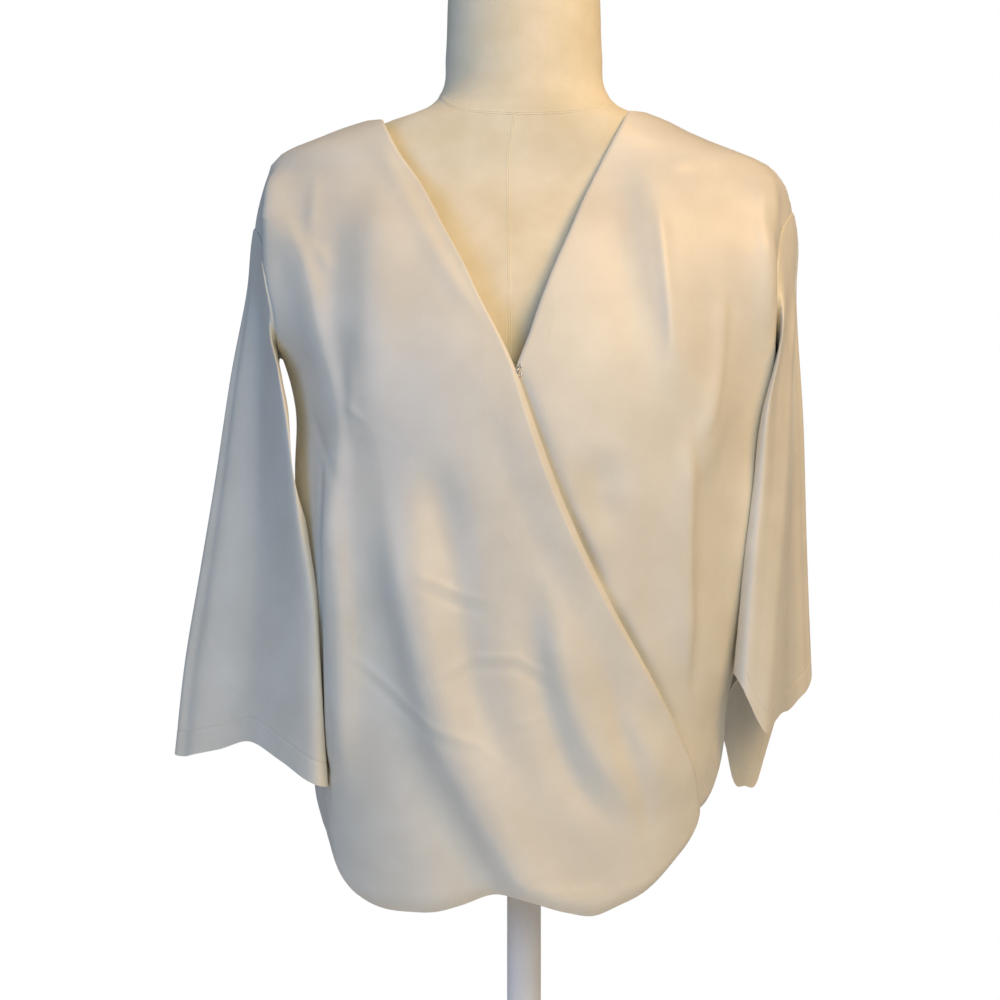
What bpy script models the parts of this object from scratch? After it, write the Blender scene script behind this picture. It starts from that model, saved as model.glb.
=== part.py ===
"""A surplice blouse with a hi-low hem, worn on a limbless dress form.

Metres, +Z up. The front faces -Y and +X is to the viewer's right, so the wearer's right front lies
at -X. The origin is the centre of the base's underside.

The body of the blouse is one surface, cloth(angle, height). The angle runs round the body: 0 at the
centre front, 90 degrees at the wearer's left side, 180 at the centre back. Each panel is a stretch
of that surface, and the over front is the same surface moved out by the lap.
"""

import math

import bmesh
import bpy
import numpy as np
from mathutils import Vector

for old in list(bpy.data.objects):
    bpy.data.objects.remove(old, do_unlink=True)

# Cloth
WALL = 0.0012
SEAM_GAP = 0.00045
SQUARENESS = 0.04
HEM_ROLL = 0.006
HEM_ROLL_HEIGHT = 0.014

# The two fronts, one over the other: how far the over front stands out and the hidden part of the
# under front sits in, and the width over which each comes to its full depth.
LAP = 0.0030
LAP_WIDTH = 0.022
UNDER_DEPTH = 0.0040
UNDER_WIDTH = 0.030
UNDER_HEM_RISE = 0.008

# Heights of the body's main levels
YOKE_Z = 0.740
FOLLOW_Z = 0.320
RIGHT_NECK_Z = 0.7690
LEFT_NECK_Z = 0.7775
NECK_EDGE_DROP = 0.0055

# Stand and form
FORM_FOOT_Z = 0.262
POLE_RADIUS = 0.013
POLE_GAP = 0.0003
BASE_RADIUS = 0.140
BASE_HEIGHT = 0.012
BASE_EDGE = 0.002

# Outer surface of the blouse's body: half widths to the viewer's left and right, depths to the
# front and back of the centre.
BODY = (
    # height, left, right, front, back
    (0.7790, 0.0780, 0.0790, 0.0610, 0.0720),
    (0.7740, 0.0940, 0.0960, 0.0615, 0.0730),
    (0.7690, 0.1095, 0.1100, 0.0620, 0.0735),
    (0.7601, 0.1395, 0.1280, 0.0625, 0.0745),
    (0.7517, 0.1615, 0.1480, 0.0630, 0.0760),
    (0.7438, 0.1815, 0.1690, 0.0635, 0.0775),
    (0.7380, 0.1905, 0.1830, 0.0645, 0.0790),
    (0.7252, 0.1962, 0.1975, 0.0690, 0.0820),
    (0.7098, 0.2008, 0.2040, 0.0780, 0.0860),
    (0.6852, 0.2050, 0.2065, 0.0930, 0.0920),
    (0.6500, 0.2030, 0.2040, 0.1080, 0.0990),
    (0.6100, 0.1930, 0.1960, 0.1190, 0.1030),
    (0.5830, 0.1815, 0.1900, 0.1245, 0.1045),
    (0.5500, 0.1735, 0.1845, 0.1280, 0.1055),
    (0.5000, 0.1745, 0.1785, 0.1285, 0.1060),
    (0.4300, 0.1735, 0.1700, 0.1265, 0.1065),
    (0.3600, 0.1680, 0.1625, 0.1240, 0.1075),
    (0.3070, 0.1635, 0.1540, 0.1210, 0.1075),
    (0.2850, 0.1620, 0.1545, 0.1195, 0.1070),
    (0.2500, 0.1600, 0.1490, 0.1180, 0.1060),
    (0.2000, 0.1545, 0.1400, 0.1150, 0.1040),
    (0.1600, 0.1500, 0.1340, 0.1130, 0.1030),
)

# The hem's height all round. It rises at both side seams and falls again across the back.
HEM = (
    # angle in degrees, height
    (-180, 0.167),
    (-150, 0.172),
    (-130, 0.192),
    (-118, 0.217),
    (-105, 0.245),
    (-90, 0.258),
    (-80, 0.243),
    (-73, 0.231),
    (-67, 0.216),
    (-58, 0.193),
    (-50, 0.184),
    (-42, 0.179),
    (-33, 0.178),
    (-25, 0.179),
    (-18, 0.184),
    (-8, 0.1925),
    (0, 0.190),
    (12, 0.181),
    (21, 0.177),
    (29, 0.183),
    (39, 0.193),
    (49, 0.212),
    (54, 0.224),
    (57.5, 0.240),
    (65, 0.250),
    (73, 0.277),
    (82, 0.289),
    (92, 0.288),
    (101, 0.272),
    (110, 0.256),
    (120, 0.233),
    (131, 0.202),
    (146, 0.176),
    (180, 0.167),
)

# The back's neckline, from the wearer's left neck point round the nape to the right one.
BACK_NECK = (
    # angle in degrees, height
    (90, LEFT_NECK_Z),
    (105, 0.7762),
    (122, 0.7732),
    (138, 0.7680),
    (152, 0.7600),
    (166, 0.7500),
    (180, 0.7450),
    (194, 0.7475),
    (208, 0.7535),
    (222, 0.7605),
    (240, 0.7655),
    (258, 0.7682),
    (270, RIGHT_NECK_Z),
)

# The over front's free edge, from the wearer's right neck point down across the body.
OVER_EDGE = (
    # height, across
    (0.7635, -0.1060),
    (0.7398, -0.0945),
    (0.7129, -0.0767),
    (0.6808, -0.0605),
    (0.6512, -0.0448),
    (0.6268, -0.0337),
    (0.6053, -0.0225),
    (0.5746, -0.0080),
    (0.5434, 0.0030),
    (0.4897, 0.0223),
    (0.4439, 0.0416),
    (0.3948, 0.0657),
    (0.3501, 0.0902),
    (0.3200, 0.1058),
)

# The under front's free edge; it shows down to the hook and goes on under the wrap.
UNDER_EDGE = (
    # height, across
    (0.7720, 0.0787),
    (0.7313, 0.0574),
    (0.7034, 0.0439),
    (0.6763, 0.0325),
    (0.6468, 0.0198),
    (0.6184, 0.0090),
    (0.5999, 0.0028),
    (0.5783, -0.0056),
    (0.5128, -0.0260),
    (0.4360, -0.0500),
    (0.3848, -0.0700),
    (0.3200, -0.0980),
)

# Side seams, as angles round the body.
SIDE_SEAM = (
    # height, wearer's right, wearer's left
    (0.70, -90.0, 90.0),
    (0.58, -88.0, 88.0),
    (0.50, -84.0, 85.0),
    (0.42, -80.0, 80.0),
    (0.36, -77.0, 74.5),
    (0.32, -74.0, 68.5),
)
RIGHT_SEAM_FOOT = -67.0
LEFT_SEAM_FOOT = 57.3
OVER_FOOT = LEFT_SEAM_FOOT - 0.6
UNDER_FOOT = -60.0
SEAM_SWING = 1.8

# Armholes: rounded openings in angle and height under the shoulder line's end. The spread is half
# their width in degrees, and the power squares the oval off.
ARMHOLE_SPREAD = 27.5
ARMHOLE_POWER = 3.0
ARMHOLES = {
    # side: middle height, half height
    "right": (0.6378, 0.0500),
    "left": (0.6470, 0.0530),
}

# The body's largest folds. A ridge has a positive height and a trough a negative one; the flanks
# are its half widths towards the viewer's left and right.
FOLDS = (
    # name, height, left flank, right flank, fade at top, fade at foot, path of (across, height)
    ("right shoulder fold", 0.0060, 0.012, 0.020, 0.03, 0.05,
     ((-0.186, 0.735), (-0.186, 0.665), (-0.181, 0.620), (-0.172, 0.570))),
    ("left shoulder fold", 0.0060, 0.020, 0.012, 0.03, 0.10,
     ((0.186, 0.735), (0.181, 0.660), (0.178, 0.560), (0.160, 0.420), (0.155, 0.340))),
    ("main wrap fold", 0.0090, 0.017, 0.030, 0.09, 0.00,
     ((-0.0955, 0.500), (-0.0860, 0.425), (-0.0760, 0.365), (-0.0610, 0.305),
      (-0.0340, 0.255), (-0.0100, 0.215), (0.0060, 0.190))),
    ("hollow beside the main fold", -0.0070, 0.022, 0.014, 0.08, 0.00,
     ((-0.1080, 0.440), (-0.0960, 0.370), (-0.0780, 0.315), (-0.0540, 0.262),
      (-0.0330, 0.215), (-0.0230, 0.180))),
    ("middle hollow", -0.0050, 0.016, 0.016, 0.05, 0.08,
     ((-0.0690, 0.520), (-0.0560, 0.450), (-0.0470, 0.390), (-0.0340, 0.330), (-0.0100, 0.270))),
    ("lower wrap fold", 0.0060, 0.014, 0.022, 0.08, 0.05,
     ((0.0180, 0.440), (0.0300, 0.345), (0.0550, 0.288), (0.0880, 0.240))),
    ("lower wrap hollow", -0.0055, 0.016, 0.013, 0.08, 0.05,
     ((0.0020, 0.430), (0.0120, 0.345), (0.0330, 0.280), (0.0700, 0.225))),
    ("side wrap fold", 0.0035, 0.012, 0.014, 0.05, 0.04,
     ((0.0640, 0.345), (0.0880, 0.300), (0.1060, 0.250))),
    ("right side fold", 0.0050, 0.014, 0.018, 0.08, 0.06,
     ((-0.1330, 0.520), (-0.1360, 0.420), (-0.1330, 0.330), (-0.1290, 0.240))),
    ("right chest fold", 0.0045, 0.016, 0.022, 0.05, 0.06,
     ((-0.1150, 0.720), (-0.1230, 0.640), (-0.1230, 0.560), (-0.1180, 0.500))),
    ("left chest fold", 0.0055, 0.018, 0.026, 0.04, 0.08,
     ((0.0900, 0.745), (0.0950, 0.660), (0.1060, 0.600), (0.1150, 0.520))),
    ("hollow by the wrap edge", -0.0040, 0.013, 0.016, 0.03, 0.04,
     ((0.0560, 0.520), (0.0540, 0.480), (0.0620, 0.440))),
    ("left side fold", 0.0055, 0.016, 0.016, 0.08, 0.06,
     ((0.1420, 0.600), (0.1360, 0.540), (0.1180, 0.480), (0.1180, 0.340))),
    ("back fold right", 0.0060, 0.022, 0.022, 0.10, 0.00,
     ((-0.0980, -0.620), (-0.0900, -0.450), (-0.1060, -0.300), (-0.1100, -0.180))),
    ("back fold middle", 0.0050, 0.024, 0.024, 0.12, 0.00,
     ((-0.0250, -0.600), (-0.0200, -0.420), (-0.0280, -0.160))),
    ("back fold left", 0.0065, 0.022, 0.022, 0.10, 0.00,
     ((0.0780, -0.640), (0.0700, -0.450), (0.0600, -0.300), (0.0640, -0.170))),
)

# How far the over front's edge stands off the cloth under it.
EDGE_LIFT_REACH = 0.035
EDGE_LIFT = (
    # height, lift
    (0.20, 0.0),
    (0.30, 0.0),
    (0.36, 0.0030),
    (0.42, 0.0045),
    (0.50, 0.0040),
    (0.56, 0.0010),
    (0.58, 0.0),
    (0.80, 0.0),
)

# Sleeves: the outer and inner lines of the tube, its half depth and the middle of its depth. The
# inner line is where the cloth would hang if the body weren't there.
RIGHT_SLEEVE = (
    # share of length, outer x, outer z, inner x, inner z, half depth, middle y
    (0.00, -0.2062, 0.6878, -0.1830, 0.5878, 0.0620, 0.000),
    (0.06, -0.2080, 0.6700, -0.1820, 0.5810, 0.0680, 0.000),
    (0.14, -0.2125, 0.6405, -0.1780, 0.5660, 0.0740, 0.000),
    (0.30, -0.2246, 0.5790, -0.1680, 0.5250, 0.0790, 0.001),
    (0.50, -0.2377, 0.4940, -0.1560, 0.4570, 0.0810, 0.003),
    (0.66, -0.2492, 0.4250, -0.1440, 0.4000, 0.0830, 0.004),
    (0.82, -0.2608, 0.3560, -0.1400, 0.3380, 0.0840, 0.005),
    (1.00, -0.2690, 0.2830, -0.1380, 0.2700, 0.0850, 0.006),
)
LEFT_SLEEVE = (
    # share of length, outer x, outer z, inner x, inner z, half depth, middle y
    (0.00, 0.2060, 0.7000, 0.1880, 0.5940, 0.0620, 0.000),
    (0.06, 0.2066, 0.6820, 0.1870, 0.5860, 0.0670, 0.000),
    (0.14, 0.2078, 0.6520, 0.1830, 0.5720, 0.0720, 0.000),
    (0.30, 0.2105, 0.6080, 0.1720, 0.5350, 0.0760, 0.001),
    (0.50, 0.2154, 0.5340, 0.1560, 0.4800, 0.0770, 0.003),
    (0.66, 0.2175, 0.4600, 0.1440, 0.4250, 0.0780, 0.004),
    (0.82, 0.2196, 0.4000, 0.1350, 0.3750, 0.0780, 0.006),
    (1.00, 0.2223, 0.3380, 0.1300, 0.3200, 0.0780, 0.008),
)

# Sleeve hems by the angle round the tube: 0 outside, 90 front, 180 inside, 270 back.
RIGHT_SLEEVE_HEM = (
    # angle, height
    (0, 0.284),
    (30, 0.282),
    (60, 0.288),
    (85, 0.296),
    (110, 0.284),
    (130, 0.272),
    (150, 0.267),
    (180, 0.271),
    (220, 0.284),
    (270, 0.292),
    (320, 0.289),
    (360, 0.284),
)
LEFT_SLEEVE_HEM = (
    # angle, height
    (0, 0.338),
    (40, 0.324),
    (75, 0.309),
    (95, 0.306),
    (125, 0.325),
    (150, 0.343),
    (180, 0.335),
    (215, 0.305),
    (240, 0.284),
    (255, 0.262),
    (270, 0.252),
    (285, 0.260),
    (300, 0.292),
    (325, 0.322),
    (360, 0.338),
)

# Sleeve folds: ridges and troughs that run down the tube.
SLEEVE_FOLDS = {
    "right": (
        # height, angle at top, angle at hem, half width in degrees, fade at top
        (0.0060, 55, 48, 20, 0.30),
        (-0.0080, 92, 82, 20, 0.25),
        (0.0060, 128, 122, 18, 0.25),
        (0.0050, 232, 228, 22, 0.30),
        (-0.0060, 275, 272, 24, 0.30),
        (0.0050, 318, 322, 22, 0.35),
    ),
    "left": (
        # height, angle at top, angle at hem, half width in degrees, fade at top
        (0.0070, 62, 84, 18, 0.25),
        (-0.0070, 100, 128, 22, 0.30),
        (-0.0040, 30, 40, 18, 0.35),
        (0.0060, 236, 232, 20, 0.30),
        (-0.0060, 268, 262, 22, 0.30),
        (0.0050, 312, 306, 20, 0.30),
    ),
}
BODY_CLEARANCE = 0.0045
RIM_CLEARANCE = WALL
SIDE_SOFTNESS = 0.004
RIM_BLEND = 0.16
RIM_LEAN = 0.03
HEM_SLANT_START = 0.30

# The dress form: half width, depth to the front and to the back.
FORM = (
    # height, half width, front, back
    (FORM_FOOT_Z, 0.1220, 0.0870, 0.0870),
    (0.2660, 0.1320, 0.0975, 0.0960),
    (0.2800, 0.1370, 0.1030, 0.1010),
    (0.3100, 0.1370, 0.1020, 0.1015),
    (0.3500, 0.1280, 0.0960, 0.0940),
    (0.3900, 0.1200, 0.0915, 0.0830),
    (0.4200, 0.1180, 0.0910, 0.0780),
    (0.4500, 0.1230, 0.0950, 0.0800),
    (0.5000, 0.1380, 0.1070, 0.0880),
    (0.5500, 0.1500, 0.1150, 0.0940),
    (0.6000, 0.1590, 0.1060, 0.0960),
    (0.6500, 0.1690, 0.0850, 0.0920),
    (0.6800, 0.1750, 0.0710, 0.0860),
    (0.7100, 0.1800, 0.0600, 0.0800),
    (0.7250, 0.1810, 0.0570, 0.0760),
    (0.7352, 0.1795, 0.0560, 0.0730),
    (0.7438, 0.1635, 0.0558, 0.0710),
    (0.7517, 0.1425, 0.0556, 0.0695),
    (0.7601, 0.1225, 0.0554, 0.0685),
    (0.7690, 0.1038, 0.0552, 0.0675),
    (0.7740, 0.0885, 0.0550, 0.0670),
    (0.7790, 0.0760, 0.0545, 0.0660),
    (0.7850, 0.0680, 0.0540, 0.0650),
    (0.7920, 0.0635, 0.0530, 0.0635),
    (0.8200, 0.0602, 0.0515, 0.0615),
    (0.8640, 0.0585, 0.0500, 0.0600),
    (0.8880, 0.0570, 0.0485, 0.0585),
    (0.8960, 0.0520, 0.0440, 0.0535),
    (0.9000, 0.0400, 0.0330, 0.0410),
)

# Hook and eye, bent from one gauge of wire.
WIRE_RADIUS = 0.0004
WIRE_STANDOFF = 0.0003
EYE_LOOP_RADIUS = 0.00115
EYE_LOOP_ACROSS = 0.0012
EYE_LOOP_START = -75.0
EYE_SPREAD = 0.0058
EYE_BAR_RISE = 0.0013
EYE_BAR_ACROSS = -0.0002
HOOK_BEND_RADIUS = 0.0012
HOOK_SHANK = 0.0050
HOOK_BILL = 0.0006
HOOK_Z = 0.5720
HOOK_FROM_EDGE = 0.0016

# Counts of rows and columns
LAP_COLUMNS = 28
UNDER_COLUMNS = 20
BACK_COLUMNS = 22
SLEEVE_SEGMENTS = 24
SLEEVE_RINGS = 16
FORM_SEGMENTS = 26


def through(rows, at):
    """Values of a table's smooth curve, whose first column is the measure that it is read at."""
    table = np.array(sorted(row for row in rows), dtype=float)
    knots, values = table[:, 0], table[:, 1:]
    slopes = np.gradient(values, knots, axis=0)
    at = np.clip(np.asarray(at, dtype=float), knots[0], knots[-1])
    low = np.clip(np.searchsorted(knots, at) - 1, 0, len(knots) - 2)
    step = (knots[low + 1] - knots[low])[..., None]
    t = (at - knots[low])[..., None] / step
    start, end = values[low], values[low + 1]
    rise_in, rise_out = slopes[low] * step, slopes[low + 1] * step
    curve = (
        start * (1 + 2 * t) * (1 - t) ** 2
        + rise_in * t * (1 - t) ** 2
        + end * t * t * (3 - 2 * t)
        + rise_out * t * t * (t - 1)
    )
    return np.moveaxis(curve, -1, 0)


def smoothstep(value):
    value = np.clip(value, 0.0, 1.0)
    return value * value * (3 - 2 * value)


def wrapped(angle):
    """The same angle between -180 and 180 degrees, in radians."""
    return (np.asarray(angle) + math.pi) % (2 * math.pi) - math.pi


def section(angle, height):
    """Half width, depth and corner swell of the body at an angle round it."""
    left, right, front, back = through(BODY, height)
    width = np.where(np.sin(angle) < 0, left, right)
    depth = np.where(np.cos(angle) > 0, front, back)
    return width, depth, 1 + SQUARENESS * np.sin(2 * angle) ** 2


def ring_reach(angle, height):
    """Metres across the cloth for each radian round the body."""
    width, depth, _ = section(angle, height)
    return np.hypot(width * np.cos(angle), depth * np.sin(angle))


def plain_cloth(angle, height):
    """The body's surface before any fold."""
    width, depth, swell = section(angle, height)
    return np.stack(
        [width * swell * np.sin(angle), -depth * swell * np.cos(angle), height + 0 * angle], -1
    )


def facing(surface, angle, height):
    """Outward unit normal of a surface given by angle and height."""
    turn, rise = 0.004, 0.0008
    across = surface(angle + turn, height) - surface(angle - turn, height)
    up = surface(angle, height + rise) - surface(angle, height - rise)
    normal = np.cross(across, up)
    return normal / np.linalg.norm(normal, axis=-1, keepdims=True)


def angle_at(across, height, behind=False):
    """Angle round the body at a distance across it."""
    left, right, _, _ = through(BODY, height)
    width = np.where(np.asarray(across) < 0, left, right)
    swell = 1.0
    for _ in range(4):
        angle = np.arcsin(np.clip(across / (width * swell), -1.0, 1.0))
        swell = 1 + SQUARENESS * np.sin(2 * angle) ** 2
    return math.pi - angle if behind else angle


def fold_height(angle, height):
    """Sum of the folds at a place on the body."""
    total = np.zeros(np.broadcast(angle, height).shape)
    for _, rise, left, right, fade_top, fade_foot, path in FOLDS:
        behind = path[0][1] < 0
        heights = [abs(z) for _, z in path]
        line = [(abs(z), x) for x, z in path]
        middle = angle_at(through(line, height)[0], height, behind)
        away = wrapped(angle - middle) * ring_reach(middle, height)
        away = -away if behind else away
        flank = np.where(away < 0, left, right)
        shape = np.exp(-((away / flank) ** 2))
        if fade_top:
            shape = shape * smoothstep((max(heights) - height) / fade_top)
        if fade_foot:
            shape = shape * smoothstep((height - min(heights)) / fade_foot)
        total = total + rise * shape
    return total


def hem_height(angle):
    return through(HEM, np.degrees(wrapped(angle)))[0]


def hem_roll(angle, height):
    """How far the cloth turns in just above the hem."""
    near = np.clip(1 - (height - hem_height(angle)) / HEM_ROLL_HEIGHT, 0.0, 1.0)
    return HEM_ROLL * near * near


def cloth(angle, height):
    """The body's surface with its folds."""
    out = fold_height(angle, height) - hem_roll(angle, height)
    return plain_cloth(angle, height) + facing(plain_cloth, angle, height) * out[..., None]


def side_seam(height, swing=0.0):
    """Angles of the two side seams, which swing forward towards the hem."""
    right, left = through(SIDE_SEAM, height)
    turn = 1 - (1 - swing) ** SEAM_SWING
    right = right + (RIGHT_SEAM_FOOT - right) * swing
    left = left + (LEFT_SEAM_FOOT - left) * turn
    return math.radians(right), math.radians(left)


def armhole_spread(height, side):
    """Half angle of an armhole at a height, or none outside it."""
    middle, half = ARMHOLES[side]
    share = abs(height - middle) / half
    return math.radians(ARMHOLE_SPREAD) * math.sqrt(max(0.0, 1 - share**ARMHOLE_POWER))


def panel_limit(height, swing, side):
    """Angle of the seam that ends a panel, and how far an armhole cuts into the panel from it."""
    right, left = side_seam(height, swing)
    seam = right if side == "right" else left
    half_gap = SEAM_GAP / 2 / float(ring_reach(seam, height))
    return seam, max(armhole_spread(height, side), half_gap)


def body_levels(neck, side):
    """Rows from the neck point down: height at the seam, height inside, share of way to the hem.

    Beside the armhole a row starts on its curve and evens out further in.
    """
    middle, half = ARMHOLES[side]
    levels = []
    for share in (1.0, 0.75, 0.5, 0.25, 0.0):
        drop = NECK_EDGE_DROP * share
        level = YOKE_Z + (neck - YOKE_Z) * share
        levels.append((level, level - drop, 0.0))
    shoulder = [middle + half + (YOKE_Z - middle - half) * share for share in (0.66, 0.33, 0.0)]
    low = middle - half
    below = [low + (FOLLOW_Z - low) * k / 10 for k in range(11)]
    levels += [(z, z, 0.0) for z in shoulder]
    for k in range(1, 8):
        levels.append((middle + half * math.cos(math.pi * k / 8), middle + half * (1 - k / 4), 0.0))
    levels += [(z, z, 0.0) for z in below]
    return levels + [
        (FOLLOW_Z, FOLLOW_Z, share) for share in (0.18, 0.36, 0.54, 0.70, 0.84, 0.94, 1.0)
    ]


def closed_wall(name, outer, inner, cyclic=False):
    """One closed body between two grids of points, with rims along its free edges."""
    rows, columns = outer.shape[:2]
    points = np.concatenate([outer.reshape(-1, 3), inner.reshape(-1, 3)])
    inside = rows * columns
    faces = []
    for row in range(rows - 1):
        for column in range(columns if cyclic else columns - 1):
            after = (column + 1) % columns
            a, b = row * columns + column, row * columns + after
            c, d = a + columns, b + columns
            faces += [(a, c, b), (b, c, d)]
            faces += [(inside + a, inside + b, inside + c), (inside + b, inside + d, inside + c)]
    rim = rim_loops(rows, columns, cyclic)
    for a, b in rim:
        faces += [(a, b, inside + a), (b, inside + b, inside + a)]
    return mesh_object(name, points, faces)


def rim_loops(rows, columns, cyclic):
    """Edges of the grid's free border, in order round it."""
    last = (rows - 1) * columns
    around = range(columns if cyclic else columns - 1)
    rim = [(c, (c + 1) % columns) for c in around]
    rim += [(last + (c + 1) % columns, last + c) for c in around]
    if not cyclic:
        rim += [((r + 1) * columns, r * columns) for r in range(rows - 1)]
        rim += [(r * columns + columns - 1, (r + 2) * columns - 1) for r in range(rows - 1)]
    return rim


def mesh_object(name, points, faces):
    """A named object, its faces turned outward and shaded smooth."""
    mesh = bpy.data.meshes.new(name)
    mesh.from_pydata([tuple(map(float, p)) for p in points], [], faces)
    shaped = bmesh.new()
    shaped.from_mesh(mesh)
    bmesh.ops.recalc_face_normals(shaped, faces=shaped.faces)
    if shaped.calc_volume(signed=True) < 0:
        bmesh.ops.reverse_faces(shaped, faces=shaped.faces)
    shaped.to_mesh(mesh)
    shaped.free()
    mesh.shade_smooth()
    mesh.set_sharp_from_angle(angle=math.radians(50))
    made = bpy.data.objects.new(name, mesh)
    bpy.context.collection.objects.link(made)
    return made


def lapped(angle, height, limit, edge):
    """The over front's own surface: the body's, moved out by the lap and lifted at its edge."""
    base = cloth(angle, height)
    reach = ring_reach(angle, height)
    lap = LAP * smoothstep((angle - limit) * reach / LAP_WIDTH)
    near_edge = smoothstep(1 - (edge - angle) * reach / EDGE_LIFT_REACH)
    lift = through(EDGE_LIFT, height)[0] * near_edge
    return base + facing(cloth, angle, height) * (lap + lift)[..., None]


def front_rows(levels, side, free_edge, foot, hem_rise, columns):
    """Angles and heights of a front's grid, from its seam to its free edge."""
    angles, heights, limits, edges = [], [], [], []
    share = np.linspace(0, 1, columns)
    towards = 1 if side == "right" else -1
    for level, inside, swing in levels:
        seam, cut = panel_limit(level, swing, side)
        edge = float(angle_at(through(free_edge, inside)[0], inside))
        turn = 1 - (1 - swing) ** SEAM_SWING
        edge += (math.radians(foot) - edge) * turn
        row = seam + (edge - seam) * share + towards * cut * (1 - share) ** 2
        height = inside + (level - inside) * (1 - share) ** 2
        angles.append(row)
        heights.append(height - swing * (height - hem_height(row) - hem_rise))
        limits.append(np.full(columns, row[0]))
        edges.append(np.full(columns, edge))
    return [np.array(part) for part in (angles, heights, limits, edges)]


def right_front():
    levels = body_levels(RIGHT_NECK_Z, "right")
    angle, height, limit, edge = front_rows(
        levels, "right", OVER_EDGE, OVER_FOOT, 0.0, LAP_COLUMNS
    )
    outer = lapped(angle, height, limit, edge)
    inner = outer - facing(cloth, angle, height) * WALL
    return closed_wall("right_front", outer, inner)


def left_front():
    levels = body_levels(LEFT_NECK_Z, "left")
    angle, height, _, _ = front_rows(
        levels, "left", UNDER_EDGE, UNDER_FOOT, UNDER_HEM_RISE, UNDER_COLUMNS
    )
    out = facing(cloth, angle, height)
    over = angle_at(through(OVER_EDGE, height)[0], height)
    cover = (over - angle) * ring_reach(angle, height)
    hidden = smoothstep(cover / UNDER_WIDTH) * (height < HOOK_Z)
    outer = cloth(angle, height) - out * (UNDER_DEPTH * hidden)[..., None]
    return closed_wall("left_front", outer, outer - out * WALL)


def back():
    right_levels = body_levels(RIGHT_NECK_Z, "right")
    left_levels = body_levels(LEFT_NECK_Z, "left")
    angles, heights = [], []
    share = np.linspace(0, 1, BACK_COLUMNS)
    for (left_z, left_in, swing), (right_z, right_in, _) in zip(left_levels, right_levels):
        start, left_cut = panel_limit(left_z, swing, "left")
        end, right_cut = panel_limit(right_z, swing, "right")
        row = start + (end + 2 * math.pi - start) * share
        row = row + left_cut * (1 - share) ** 3 - right_cut * share**3
        level = left_in + (right_in - left_in) * smoothstep(share)
        level = level + (left_z - left_in) * (1 - share) ** 3 + (right_z - right_in) * share**3
        if min(left_z, right_z) > YOKE_Z:
            neck = through(BACK_NECK, np.degrees(row))[0]
            climb = (left_z - YOKE_Z) / (LEFT_NECK_Z - YOKE_Z)
            level = YOKE_Z + climb * (neck - YOKE_Z)
        angles.append(row)
        heights.append(level - swing * (level - hem_height(row)))
    angle, height = np.array(angles), np.array(heights)
    outer = cloth(angle, height)
    inner = outer - facing(cloth, angle, height) * WALL
    return closed_wall("back", outer, inner)


def clear_of_body(points, side, clearance):
    """Moves a sleeve's points out from the body's side where they would sink into it."""
    sign = -1 if side == "right" else 1
    _, _, front, behind = through(BODY, points[..., 2])
    depth = np.where(points[..., 1] < 0, front, behind)
    share = np.clip(-points[..., 1] / depth, -1.0, 1.0)
    angle = sign * np.arccos(share)
    wall = sign * cloth(angle, points[..., 2])[..., 0] + clearance
    sink = wall - sign * points[..., 0]
    soft = SIDE_SOFTNESS * clearance / BODY_CLEARANCE
    result = points.copy()
    result[..., 0] += sign * (sink + np.sqrt(sink * sink + soft * soft)) / 2
    return result


def armhole_rim(around, side):
    """Points of the armhole's seam line, just outside the body."""
    middle, half = ARMHOLES[side]
    sign = -1 if side == "right" else 1
    share = np.cos(around)
    height = middle + half * share
    spread = np.sqrt(np.maximum(0.0, 1 - np.abs(share) ** ARMHOLE_POWER))
    angle = sign * (math.pi / 2 - math.radians(ARMHOLE_SPREAD) * spread * np.sign(np.sin(around)))
    return cloth(angle, height) + facing(cloth, angle, height) * RIM_CLEARANCE


def sleeve_surface(side, table, hem):
    """A function of the angle round the tube and the share of its length."""
    outward = -1 if side == "right" else 1

    def tube(around, share):
        outer_x, outer_z, inner_x, inner_z, depth, middle = through(table, share)
        inward = (1 - np.cos(around)) / 2
        x = outer_x + (inner_x - outer_x) * inward
        z = outer_z + (inner_z - outer_z) * inward
        level_foot = table[-1][2] + (table[-1][4] - table[-1][2]) * inward
        slant = through(hem, np.degrees(around) % 360)[0] - level_foot
        z = z + slant * smoothstep((share - HEM_SLANT_START) / (1 - HEM_SLANT_START))
        folded = sleeve_folds(around, share, side)
        y = middle - (depth + folded) * np.sin(around)
        x = x + outward * folded * np.cos(around)
        lean = np.stack([outward * share * RIM_LEAN, 0 * share, 0 * share], -1)
        rim = armhole_rim(around, side) + lean
        blend = smoothstep(share / RIM_BLEND)
        hanging = rim + (np.stack([x, y, z], -1) - rim) * blend[..., None]
        return clear_of_body(hanging, side, RIM_CLEARANCE + (BODY_CLEARANCE - RIM_CLEARANCE) * blend)

    return tube


def sleeve_folds(around, share, side):
    total = np.zeros(np.broadcast(around, share).shape)
    for rise, top, foot, width, fade in SLEEVE_FOLDS[side]:
        middle = np.radians(top + (foot - top) * share)
        away = wrapped(around - middle) / math.radians(width)
        total = total + rise * np.exp(-away * away) * smoothstep(share / fade)
    return total


def sleeve(name, side, table, hem):
    tube = sleeve_surface(side, table, hem)
    around = np.linspace(0, 2 * math.pi, SLEEVE_SEGMENTS, endpoint=False)
    share = np.linspace(0, 1, SLEEVE_RINGS) ** 1.15
    around, share = np.meshgrid(around, share)
    outer = tube(around, share)
    turn = tube(around + 0.01, share) - tube(around - 0.01, share)
    run = tube(around, np.clip(share + 0.004, 0, 1)) - tube(around, np.clip(share - 0.004, 0, 1))
    normal = np.cross(turn, run)
    normal /= np.linalg.norm(normal, axis=-1, keepdims=True)
    centre = outer.mean(axis=1, keepdims=True)
    normal *= np.sign(((outer - centre) * normal).sum())
    inner = outer - normal * WALL
    return closed_wall(name, outer, inner, cyclic=True)


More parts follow.
